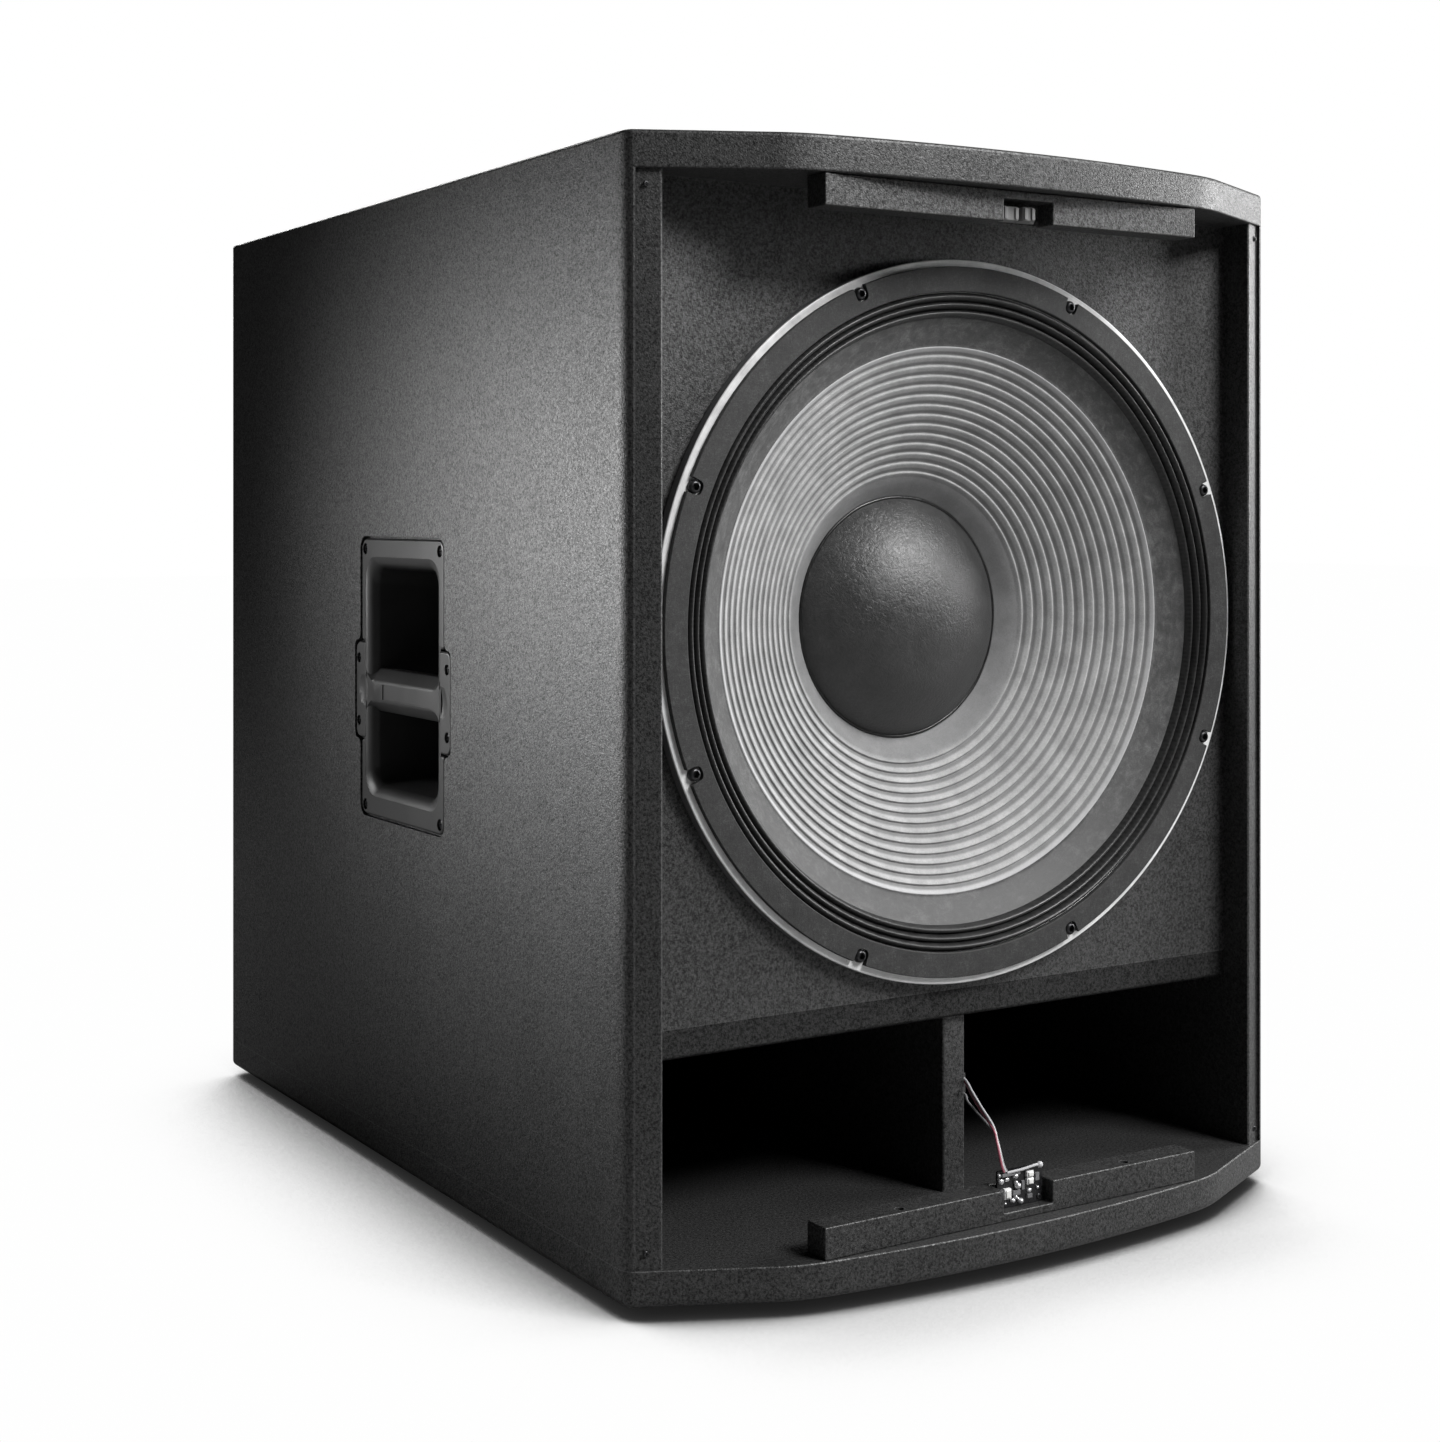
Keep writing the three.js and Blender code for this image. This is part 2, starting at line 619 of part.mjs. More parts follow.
// receptacle with three blades beside the well of the power switch
function mainsInlet() {
  const body = union(
    box(centred(30), [FACE, FACE + 2.5], centred(22)),
    box(centred(MAINS.halfWidth), [606, FACE + 1], centred(MAINS.halfHeight)),
  );
  const hollow = [619, FACE + 4];
  return union(
    cut(body, prismY(RECEPTACLE, hollow), box([6, 20], hollow, centred(12.2))),
    box([-19, -17], [618, 632], [-4, 0]),
    box([-7, -5], [618, 632], [-4, 0]),
    box([-13, -11], [618, 633], [1, 5]),
  );
}

// section of the rocker before tilting, about its pivot: z, y
const ROCKER_SECTION = [[-10.6, 3], [0, 1.6], [10.6, 3], [9.6, -3.4], [0, -8], [-9.6, -3.4]];

// the rocker turns about an X axis through the mouth of its well
function powerRocker() {
  const [cos, sin] = polar(1, THREE.MathUtils.degToRad(ROCKER_TILT));
  const pivotY = FACE + 1.5;
  const tilted = ROCKER_SECTION.map(([z, y]) => [pivotY + z * sin + y * cos, z * cos - y * sin]);
  return prismX(tilted, [6.4, 19.6]);
}

put(amplifier, "amp_plate", ampPlate(), FINISH.ampPlate);
put(amplifier, "heatsink", heatsink(), FINISH.heatsink);
put(amplifier, "amp_housing", ampHousing(), FINISH.housing);
put(amplifier, "amp_circuit_board", ampCircuitBoard(), FINISH.circuitBoard);
put(
  amplifier,
  "power_transformer",
  at(-50, 470, turned(TRANSFORMER_PROFILE, 20)),
  FINISH.transformer,
);
for (const [side, x, z] of INPUT_JACKS) {
  put(amplifier, `input_jack_${side}`, at(x, z, inputJack()), FINISH.moulded);
  put(amplifier, `release_tab_${side}`, at(x, z, releaseTab()), FINISH.releaseTab);
}
for (const [side, x, z] of OUTPUT_JACKS)
  put(amplifier, `output_jack_${side}`, at(x, z, outputJack()), FINISH.moulded);
for (const [name, x, z] of KNOBS) put(amplifier, name, at(x, z, knob()), FINISH.moulded);
for (const [name, x, z] of BUTTONS) put(amplifier, name, at(x, z, button()), FINISH.moulded);
put(amplifier, "mains_inlet", at(MAINS.x, MAINS.z, mainsInlet()), FINISH.moulded);
put(amplifier, "power_rocker", at(MAINS.x, MAINS.z, powerRocker()), FINISH.moulded);

// ---------------------------------------------------------------- pole socket, feet, speaker lead
// flanged cup let into the top panel
function poleSocket() {
  const { y, bore, tube: outer, flange, depth, wall, sides } = SOCKET;
  const bottom = HEIGHT - depth;
  const profile = [
    [0, bottom], [outer, bottom], [outer, HEIGHT - wall], [flange, HEIGHT - wall],
    [flange, HEIGHT], [bore, HEIGHT], [bore, bottom + wall], [0, bottom + wall],
  ];
  return turnedZ(profile, sides).translate([0, y, 0]);
}
put(cabinet, "pole_socket", poleSocket(), FINISH.darkMetal);

// radius, z
const FOOT_PROFILE = [
  [6, -FOOT_HEIGHT], [17, -FOOT_HEIGHT], [19, -FOOT_HEIGHT + 2.5],
  [19, 0], [3, 0], [3, -3], [6, -3],
];
for (const [end, y] of [["front", 25], ["rear", 610]])
  for (const [side, sign] of SIDES) {
    const foot = turnedZ(FOOT_PROFILE, 16).translate([sign * 205, y, 0]);
    put(cabinet, `foot_${end}_${side}`, foot, FINISH.rubber);
  }

// from the amplifier housing to the driver terminals
const SPEAKER_CABLE_PATH = [
  [60, 510.8, 500], [60, 496, 500], [63, 470, 506], [70, 411, 520],
  [60, 330, 545], [25, 240, 560], [0, 190, 545], [0, 164.4, DRIVER_Z + 131],
];
put(cabinet, "speaker_cable", cable(SPEAKER_CABLE_PATH, 3, 8, 15), FINISH.rubber);

export default subwoofer;
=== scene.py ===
import bpy, bmesh, math
from mathutils import Vector, Matrix
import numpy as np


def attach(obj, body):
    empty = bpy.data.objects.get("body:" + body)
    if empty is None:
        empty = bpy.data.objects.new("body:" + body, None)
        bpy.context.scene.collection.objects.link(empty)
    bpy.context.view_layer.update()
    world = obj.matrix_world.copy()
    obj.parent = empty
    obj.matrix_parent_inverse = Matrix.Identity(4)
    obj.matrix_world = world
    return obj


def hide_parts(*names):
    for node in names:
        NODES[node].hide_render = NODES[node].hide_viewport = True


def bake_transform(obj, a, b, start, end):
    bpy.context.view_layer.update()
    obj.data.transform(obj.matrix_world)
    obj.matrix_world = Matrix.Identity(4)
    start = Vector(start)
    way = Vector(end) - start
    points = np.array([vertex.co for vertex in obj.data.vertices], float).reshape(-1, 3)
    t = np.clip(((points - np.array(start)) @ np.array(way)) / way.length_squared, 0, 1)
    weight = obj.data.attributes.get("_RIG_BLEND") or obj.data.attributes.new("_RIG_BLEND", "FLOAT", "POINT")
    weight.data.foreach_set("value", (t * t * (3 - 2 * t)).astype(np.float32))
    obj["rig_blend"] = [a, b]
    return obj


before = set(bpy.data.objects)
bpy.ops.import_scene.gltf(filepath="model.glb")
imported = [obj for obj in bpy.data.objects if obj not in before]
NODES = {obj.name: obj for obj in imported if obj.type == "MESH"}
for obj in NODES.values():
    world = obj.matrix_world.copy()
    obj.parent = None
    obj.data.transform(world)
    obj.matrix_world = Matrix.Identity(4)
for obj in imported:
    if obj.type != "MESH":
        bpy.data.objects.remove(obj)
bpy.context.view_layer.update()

# ------------------------------------------------------------------ frame and sizes (box frame, mm)
# x right, y into the box from its front corners, z up from the wooden underside
Y0, Z0 = 300.75, 8.0
DZ = 389.3  # driver centre height
HW, INNER, PANEL, H, D = 256.0, 234.0, 22.0, 680.0, 660.0


def R(p):
    return Vector((p[0] / 1000, (p[1] - Y0) / 1000, (p[2] + Z0) / 1000))


# ------------------------------------------------------------------ small geometry kit
# a shell is (verts, faces) in the box frame, mm
def fillet(pts, r, seg=4, closed=True, only=None):
    out, n = [], len(pts)
    for i, p in enumerate(pts):
        if (not closed and i in (0, n - 1)) or (only is not None and i not in only):
            out.append(tuple(p))
            continue
        rr = r[i] if isinstance(r, (list, tuple)) else r
        a, b = Vector(pts[i - 1]) - Vector(p), Vector(pts[(i + 1) % n]) - Vector(p)
        la, lb = a.length, b.length
        if rr <= 0 or la < 1e-6 or lb < 1e-6:
            out.append(tuple(p))
            continue
        a, b = a / la, b / lb
        ang = math.acos(max(-1, min(1, a.dot(b))))
        if ang > math.pi - 0.02:
            out.append(tuple(p))
            continue
        t = min(rr / math.tan(ang / 2), la * 0.48, lb * 0.48)
        rr = t * math.tan(ang / 2)
        c = Vector(p) + (a + b).normalized() * (rr / math.sin(ang / 2))
        s, e = Vector(p) + a * t - c, Vector(p) + b * t - c
        sweep = math.pi - ang
        for k in range(seg + 1):
            f = k / seg
            w = (s * math.sin((1 - f) * sweep) + e * math.sin(f * sweep)) / math.sin(sweep)
            out.append(tuple(c + w))
    return out


def offset(pts, d):
    """Closed outline moved inwards by d (a number, or one per point)."""
    n, out = len(pts), []
    area = sum(pts[i][0] * pts[(i + 1) % n][1] - pts[(i + 1) % n][0] * pts[i][1] for i in range(n))
    sgn = 1 if area > 0 else -1
    for i, p in enumerate(pts):
        a, b = Vector(p) - Vector(pts[i - 1]), Vector(pts[(i + 1) % n]) - Vector(p)
        na, nb = Vector((-a.y, a.x)).normalized(), Vector((-b.y, b.x)).normalized()
        m = na + nb
        if m.length < 1e-6:
            m = na.copy()
        m.normalize()
        k = 1 / max(0.35, m.dot(na))
        dd = d[i] if isinstance(d, (list, tuple)) else d
        out.append((p[0] + sgn * m.x * dd * k, p[1] + sgn * m.y * dd * k))
    return out


def rrect(a0, a1, b0, b1, r, n=6):
    return fillet([(a0, b0), (a1, b0), (a1, b1), (a0, b1)], r, n)


def circle(r, n, c=(0, 0), ph=0.0):
    return [(c[0] + r * math.cos(ph + 2 * math.pi * i / n), c[1] + r * math.sin(ph + 2 * math.pi * i / n)) for i in range(n)]


def lift(axis, p, t):
    return {"z": (p[0], p[1], t), "y": (p[0], t, p[1]), "x": (t, p[0], p[1])}[axis]


def loft(rings, caps=True, closed=True):
    n = len(rings[0])
    v = [tuple(p) for r in rings for p in r]
    f = []
    for k in range(len(rings) - 1):
        for i in range(n if closed else n - 1):
            j = (i + 1) % n
            f.append((k * n + i, k * n + j, (k + 1) * n + j, (k + 1) * n + i))
    if caps:
        f.append(tuple(range(n - 1, -1, -1)))
        f.append(tuple((len(rings) - 1) * n + i for i in range(n)))
    return v, f


def layers(axis, steps, caps=True):
    return loft([[lift(axis, p, t) for p in o] for o, t in steps], caps)


def prism(axis, outline, a, b):
    return layers(axis, [(outline, a), (outline, b)])


def soft_prism(axis, outline, a, b, r, seg=3, both=True):
    """Prism whose two end faces have rounded edges of radius r."""
    st = []
    if both:
        for k in range(seg):
            t = math.pi / 2 * k / seg
            st.append((offset(outline, r * (1 - math.sin(t))), a + (r * (1 - math.cos(t))) * (1 if b > a else -1)))
        st.append((outline, a + r * (1 if b > a else -1)))
    else:
        st.append((outline, a))
    s = 1 if b > a else -1
    for k in range(seg + 1):
        t = math.pi / 2 * k / seg
        st.append((offset(outline, r * (1 - math.cos(t))), b - s * r * (1 - math.sin(t))))
    return layers(axis, st)


def cube(x0, x1, y0, y1, z0, z1):
    return prism("z", [(x0, y0), (x1, y0), (x1, y1), (x0, y1)], z0, z1)


def soft_cube(x0, x1, y0, y1, z0, z1, r=0.8, seg=2):
    return soft_prism("z", rrect(x0, x1, y0, y1, r, seg), z0, z1, r, seg)


def lathe(profile, n=192, c=(0.0, DZ), axis="y", wob=None, closed=True):
    """Profile of (radius, along) turned about an axis through c."""
    v, f, m = [], [], len(profile)
    for i in range(n):
        t = 2 * math.pi * i / n
        for k, (r, y) in enumerate(profile):
            rr = r + (wob(r, y, t) if wob else 0)
            v.append(lift(axis, (c[0] + rr * math.cos(t), c[1] + rr * math.sin(t)), y))
    for i in range(n):
        j = (i + 1) % n
        for k in range(m if closed else m - 1):
            l = (k + 1) % m
            f.append((i * m + k, i * m + l, j * m + l, j * m + k))
    return v, f


def catmull(pts, per=8):
    out, P = [], [Vector(p) for p in pts]
    P = [2 * P[0] - P[1]] + P + [2 * P[-1] - P[-2]]
    for i in range(1, len(P) - 2):
        for k in range(per):
            t = k / per
            a, b, c, d = P[i - 1], P[i], P[i + 1], P[i + 2]
            out.append(0.5 * ((2 * b) + (c - a) * t + (2 * a - 5 * b + 4 * c - d) * t * t + (3 * b - a - 3 * c + d) * t ** 3))
    out.append(P[-2])
    return out


def tube(pts, r, n=12, per=8):
    path = catmull(pts, per) if per else [Vector(p) for p in pts]
    rings, up = [], Vector((0.13, 0.21, 1)).normalized()
    for i, p in enumerate(path):
        t = (path[min(i + 1, len(path) - 1)] - path[max(i - 1, 0)]).normalized()
        s = (up - t * up.dot(t)).normalized()
        up = s
        b = t.cross(s)
        rr = r(i / (len(path) - 1)) if callable(r) else r
        rings.append([tuple(p + (s * math.cos(a) + b * math.sin(a)) * rr) for a in [2 * math.pi * k / n for k in range(n)]])
    return loft(rings)


def blob(c, r, sx=1, sy=1, sz=1, n=12):
    prof = [(max(1e-4, r * math.sin(math.pi * k / 8)), -r * math.cos(math.pi * k / 8)) for k in range(9)]
    v, f = [], []
    rings = [[(c[0] + q[0] * sx * math.cos(2 * math.pi * i / n), c[1] + q[1] * sy, c[2] + q[0] * sz * math.sin(2 * math.pi * i / n)) for i in range(n)] for q in prof]
    return loft(rings)


def screw(c, axis, sgn, r=3.4, h=1.6, kind="cross", n=48):
    """A pan head standing on c, facing sgn along axis, with its drive recess."""
    def drive(s):
        out = []
        for i in range(n):
            t = 2 * math.pi * i / n
            if kind == "cross":
                w, L = 0.16 * r * s, 0.62 * r * s
                ct, st = abs(math.cos(t)), abs(math.sin(t))
                q = max(min(L / max(ct, 1e-6), w / max(st, 1e-6)), min(w / max(ct, 1e-6), L / max(st, 1e-6)))
                q = min(q, L)
            elif kind == "hex":
                u = (t % (math.pi / 3)) - math.pi / 6
                q = 0.5 * r * s / math.cos(u)
            else:
                q = 0.5 * r * s * (1 + 0.14 * math.cos(6 * t))
            out.append((q * math.cos(t), q * math.sin(t)))
        return out
    prof = [(1.0, 0.0), (1.0, 0.32), (0.93, 0.62), (0.78, 0.86), (0.66, 0.95)]
    rings = [([(r * k * x, r * k * y) for x, y in circle(1, n)], z * h) for k, z in prof]
    rings.append((drive(1.0), h * 0.98))
    rings.append((drive(0.86), h * 0.25))
    a = {"x": 0, "y": 1, "z": 2}[axis]
    uv = [k for k in range(3) if k != a]
    out = []
    for o, z in rings:
        ring = []
        for x, y in o:
            p = [0, 0, 0]
            p[uv[0]], p[uv[1]], p[a] = c[uv[0]] + x, c[uv[1]] + y, c[a] + sgn * z
            ring.append(tuple(p))
        out.append(ring)
    return loft(out)


def mirror_x(shell):
    v, f = shell
    return [(-p[0], p[1], p[2]) for p in v], [tuple(reversed(q)) for q in f]


def moved(shell, dx=0, dy=0, dz=0):
    return [(p[0] + dx, p[1] + dy, p[2] + dz) for p in shell[0]], shell[1]


def raw(name, shells):
    v, f = [], []
    for s in shells:
        k = len(v)
        v += [R(p) for p in s[0]]
        f += [tuple(i + k for i in q) for q in s[1]]
    me = bpy.data.meshes.new(name)
    me.from_pydata(v, [], f)
    ob = bpy.data.objects.new(name, me)
    bpy.context.scene.collection.objects.link(ob)
    bm = bmesh.new()
    bm.from_mesh(me)
    bmesh.ops.remove_doubles(bm, verts=bm.verts, dist=2e-7)
    bmesh.ops.dissolve_degenerate(bm, edges=bm.edges, dist=1e-8)
    bmesh.ops.recalc_face_normals(bm, faces=bm.faces)
    bm.to_mesh(me)
    bm.free()
    return ob


def bake_mods(ob):
    dg = bpy.context.evaluated_depsgraph_get()
    me = bpy.data.meshes.new_from_object(ob.evaluated_get(dg))
    ob.modifiers.clear()
    old = ob.data
    ob.data = me
    bpy.data.meshes.remove(old)
    return ob


def carve(ob, tools, op="DIFFERENCE"):
    for k, t in enumerate(tools):
        t = raw("tool_%d" % k, [t] if isinstance(t, tuple) else t)
        m = ob.modifiers.new("cut", "BOOLEAN")
        m.operation, m.solver, m.object = op, "EXACT", t
        bake_mods(ob)
        bpy.data.objects.remove(t)
    bm = bmesh.new()
    bm.from_mesh(ob.data)
    bmesh.ops.remove_doubles(bm, verts=bm.verts, dist=1e-6)
    bm.to_mesh(ob.data)
    bm.free()
    return ob


def bevel(ob, w, seg=2, angle=35):
    m = ob.modifiers.new("round", "BEVEL")
    m.width, m.segments, m.limit_method, m.angle_limit = w / 1000, seg, "ANGLE", math.radians(angle)
    m.use_clamp_overlap = True
    m.miter_outer = "MITER_ARC"
    return bake_mods(ob)


def finish_piece(ob, mats, body="cabinet", slot=None, stands=(), angle=32, face_mat=None, weighted=True):
    me = ob.data
    me.materials.clear()
    for m in mats if isinstance(mats, (list, tuple)) else [mats]:
        me.materials.append(m)
    for p in me.polygons:
        p.use_smooth = True
        p.material_index = face_mat(p.center) if face_mat else 0
    me.set_sharp_from_angle(angle=math.radians(angle))
    if weighted:
        w = ob.modifiers.new("wn", "WEIGHTED_NORMAL")
        w.keep_sharp = True
        w.weight = 80
        bake_mods(ob)
    if body:
        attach(ob, body)
    if stands:
        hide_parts(*stands)
    return ob


def piece(name, shells, mats, **kw):
    return finish_piece(raw(name, shells), mats, **kw)


# ------------------------------------------------------------------ material kit
class Mat:
    def __init__(s, name, base=(0.5, 0.5, 0.5), rough=0.5, metal=0.0, spec=0.5, **kw):
        s.m = bpy.data.materials.new(name)
        s.m.use_nodes = True
        s.t = s.m.node_tree
        s.b = s.t.nodes["Principled BSDF"]
        s.co = s.add("ShaderNodeTexCoord").outputs["Object"]
        s.put("Base Color", (*base, 1))
        s.put("Roughness", rough)
        s.put("Metallic", metal)
        s.put("Specular IOR Level", spec)
        for k, v in kw.items():
            s.put(k, v)

    def add(s, kind, **props):
        n = s.t.nodes.new(kind)
        for k, v in props.items():
            setattr(n, k, v)
        return n

    def put(s, name, v):
        sock = s.b.inputs[name]
        if isinstance(v, bpy.types.NodeSocket):
            s.t.links.new(v, sock)
        else:
            sock.default_value = v
        return s

    def wire(s, n, name, v):
        if isinstance(v, bpy.types.NodeSocket):
            s.t.links.new(v, n.inputs[name])
        elif v is not None:
            n.inputs[name].default_value = v

    def scaled(s, v=(1, 1, 1), loc=(0, 0, 0), rot=(0, 0, 0), co=None):
        n = s.add("ShaderNodeMapping")
        s.wire(n, "Vector", co or s.co)
        s.wire(n, "Scale", v)
        s.wire(n, "Location", loc)
        s.wire(n, "Rotation", rot)
        return n.outputs[0]

    def noise(s, scale, detail=3.0, rough=0.55, dist=0.0, co=None):
        n = s.add("ShaderNodeTexNoise")
        s.wire(n, "Vector", co or s.co)
        for k, v in (("Scale", scale), ("Detail", detail), ("Roughness", rough), ("Distortion", dist)):
            s.wire(n, k, v)
        return n.outputs["Fac"] if "Fac" in n.outputs else n.outputs[0]

    def cells(s, scale, feature="SMOOTH_F1", smooth=0.6, rand=1.0, co=None, out="Distance"):
        n = s.add("ShaderNodeTexVoronoi", feature=feature)
        s.wire(n, "Vector", co or s.co)
        s.wire(n, "Scale", scale)
        s.wire(n, "Randomness", rand)
        if feature == "SMOOTH_F1":
            s.wire(n, "Smoothness", smooth)
        return n.outputs[out]

    def wave(s, scale, axis="X", co=None, dist=0.0, profile="SIN", detail_scale=1.0, detail=1.0):
        n = s.add("ShaderNodeTexWave", wave_type="BANDS", bands_direction=axis, wave_profile=profile)
        s.wire(n, "Vector", co or s.co)
        s.wire(n, "Scale", scale)
        s.wire(n, "Distortion", dist)
        s.wire(n, "Detail", detail)
        s.wire(n, "Detail Scale", detail_scale)
        return n.outputs["Fac"]

    def math(s, op, a, b=None, c=None, clamp=False):
        n = s.add("ShaderNodeMath", operation=op, use_clamp=clamp)
        for i, v in enumerate((a, b, c)):
            if v is not None:
                s.wire(n, i, v)
        return n.outputs[0]

    def ramp(s, fac, stops, interp="LINEAR"):
        n = s.add("ShaderNodeValToRGB")
        n.color_ramp.interpolation = interp
        e = n.color_ramp.elements
        while len(e) < len(stops):
            e.new(0.5)
        for k, (pos, col) in enumerate(stops):
            e[k].position = pos
            e[k].color = (col, col, col, 1) if isinstance(col, (int, float)) else (*col, 1)
        s.wire(n, "Fac", fac)
        return n.outputs["Color"]

    def span(s, v, a, b, c, d, smooth=False):
        n = s.add("ShaderNodeMapRange")
        n.clamp = True
        if smooth:
            n.interpolation_type = "SMOOTHSTEP"
        s.wire(n, "Value", v)
        for k, q in (("From Min", a), ("From Max", b), ("To Min", c), ("To Max", d)):
            s.wire(n, k, q)
        return n.outputs["Result"]

    def mix(s, fac, a, b, blend="MIX"):
        n = s.add("ShaderNodeMix", data_type="RGBA", blend_type=blend)
        s.wire(n, 0, fac)
        for k, v in ((6, a), (7, b)):
            if isinstance(v, (tuple, list)) and len(v) == 3:
                v = (*v, 1)
            if isinstance(v, (int, float)):
                v = (v, v, v, 1)
            s.wire(n, k, v)
        return n.outputs[2]

    def bump(s, height, strength, dist_mm, normal=None):
        n = s.add("ShaderNodeBump")
        s.wire(n, "Height", height)
        s.wire(n, "Strength", strength)
        s.wire(n, "Distance", dist_mm / 1000)
        if normal is not None:
            s.wire(n, "Normal", normal)
        return n.outputs[0]

    def xyz(s, co=None):
        n = s.add("ShaderNodeSeparateXYZ")
        s.wire(n, 0, co or s.co)
        return n.outputs[0], n.outputs[1], n.outputs[2]

    def polar(s, cz=(DZ + Z0) / 1000):
        """Radius (m) and angle (rad) about the driver's axis."""
        x, _, z = s.xyz()
        z = s.math("SUBTRACT", z, cz)
        r = s.math("SQRT", s.math("ADD", s.math("MULTIPLY", x, x), s.math("MULTIPLY", z, z)))
        return r, s.math("ARCTAN2", z, x)

    def edge(s, radius_mm=1.5, samples=4):
        """Rises from 0 on flats to 1 on outward and inward edges."""
        b = s.add("ShaderNodeBevel", samples=samples)
        s.wire(b, "Radius", radius_mm / 1000)
        g = s.add("ShaderNodeNewGeometry")
        d = s.add("ShaderNodeVectorMath", operation="DOT_PRODUCT")
        s.wire(d, 0, b.outputs[0])
        s.wire(d, 1, g.outputs["Normal"])
        return s.math("SUBTRACT", 1.0, d.outputs["Value"], clamp=True)

    def done(s):
        return s.m


# black textured polyurea paint: rounded pebbles 2 to 3 mm across over a fine stipple
def paint(name, lo=0.007, hi=0.040, rough=(0.40, 0.58), bump_mm=0.20, wear=0.45, gloss=(0.25, 1.0), bare=0.085, edge=1.2):
    m = Mat(name, rough=0.5)
    peb = m.cells(950, smooth=0.5)
    fine = m.noise(2400, 2, 0.6)
    mid = m.noise(1150, 2, 0.55)
    h = m.math("ADD", m.math("MULTIPLY", peb, -0.9), m.math("ADD", m.math("MULTIPLY", mid, 1.2), m.math("MULTIPLY", fine, 0.4)))
    n = m.bump(h, 0.7, bump_mm)
    drift = m.noise(9, 3, 0.6)
    speck = m.noise(600, 3, 0.8)
    t = m.math("ADD", m.math("MULTIPLY", speck, 0.92), m.math("MULTIPLY", drift, 0.08))
    col = m.ramp(t, [(0.34, lo), (0.66, hi)])
    if wear:
        e = m.edge(edge, 4)
        e = m.span(m.math("MULTIPLY", e, m.noise(260, 3, 0.7)), 0.015, 0.10, 0.0, wear)
        col = m.mix(e, col, (bare, bare, bare * 1.02))
    m.put("Base Color", col)
    m.put("Specular IOR Level", m.span(t, 0.38, 0.62, gloss[0], gloss[1]))
    m.put("Roughness", m.span(m.math("ADD", m.math("MULTIPLY", mid, 0.8), m.math("MULTIPLY", drift, 0.2)), 0.35, 0.65, rough[0], rough[1]))
    m.put("Normal", n)
    return m.done()


PAINT = paint("textured_black_paint")
PAINT_WORN = paint("rubbed_black_paint", lo=0.006, hi=0.036, wear=0.75, bare=0.20, edge=1.0)
# a darker copy of the black paint for the duct ceiling: painted shade inside the ducts
PAINT_DUCT_SHADE = paint("duct_black_paint_painted_shade", lo=0.003, hi=0.018, rough=(0.55, 0.75), bump_mm=0.2, wear=0.0, gloss=(0.1, 0.5))


def plastic(name, base=0.028, rough=0.42, grain=2600, mm=0.05, spec=0.5):
    m = Mat(name, spec=spec)
    g = m.noise(grain, 3, 0.6)
    d = m.noise(22, 3, 0.6)
    m.put("Base Color", m.ramp(d, [(0.3, base * 0.85), (0.7, base * 1.2)]))
    m.put("Roughness", m.span(m.math("ADD", m.math("MULTIPLY", g, 0.5), m.math("MULTIPLY", d, 0.5)), 0.35, 0.65, rough - 0.08, rough + 0.1))
    m.put("Normal", m.bump(g, 0.6, mm))
    return m.done()


PLASTIC = plastic("moulded_black_plastic", 0.030, 0.40)
PLASTIC_FINE = plastic("control_black_plastic", 0.030, 0.34, 3600, 0.03)
CATCH = plastic("catch_grey_plastic", 0.15, 0.5, 1500, 0.12)


def metal(name, base, rough, brush=None, metal_=1.0, mottle=0.06, mm=0.02, scale=300):
    m = Mat(name, metal=metal_)
    n = m.noise(scale, 4, 0.6)
    if brush:
        n = m.noise(scale, 4, 0.65, co=m.scaled(brush))
    d = m.noise(18, 3, 0.6)
    lo = tuple(c * (1 - mottle) for c in base)
    hi = tuple(min(1, c * (1 + mottle)) for c in base)
    m.put("Base Color", m.ramp(d, [(0.3, lo), (0.7, hi)]))
    m.put("Roughness", m.span(m.math("ADD", m.math("MULTIPLY", n, 0.6), m.math("MULTIPLY", d, 0.4)), 0.35, 0.65, rough * 0.75, rough * 1.3))
    m.put("Normal", m.bump(n, 0.4, mm))
    return m.done()


STEEL_BLACK = metal("black_powder_coat", (0.03, 0.03, 0.031), 0.42, metal_=0.0, mm=0.10, scale=900)
STEEL_ZINC = metal("zinc_plated_steel", (0.55, 0.56, 0.57), 0.32, mottle=0.12)
ANODISED = metal("black_anodised", (0.035, 0.035, 0.037), 0.38, metal_=0.6, brush=(1, 1, 14), scale=500)
NICKEL = metal("nickel_plate", (0.72, 0.71, 0.69), 0.2)
COPPER = metal("coil_winding", (0.62, 0.30, 0.14), 0.34, brush=(1, 40, 1), scale=400, mm=0.06)
TOROID = metal("transformer_wrap", (0.55, 0.30, 0.13), 0.4, brush=(6, 6, 1), metal_=0.5, scale=200)
TRAY = metal("amp_tray_aluminium", (0.62, 0.63, 0.64), 0.36, brush=(1, 12, 1))
FERRITE = metal("sintered_ferrite", (0.06, 0.06, 0.063), 0.62, metal_=0.0, mm=0.12, scale=1200)
BOLT_BLACK = metal("black_oxide_bolt", (0.045, 0.045, 0.047), 0.33, metal_=0.7, scale=1400, mm=0.02)


def rubber():
    m = Mat("foot_rubber", spec=0.4)
    g = m.noise(900, 4, 0.65)
    m.put("Base Color", m.ramp(g, [(0.35, 0.012), (0.65, 0.024)]))
    m.put("Roughness", m.span(g, 0.3, 0.7, 0.72, 0.9))
    m.put("Normal", m.bump(g, 0.6, 0.15))
    return m.done()


RUBBER = rubber()


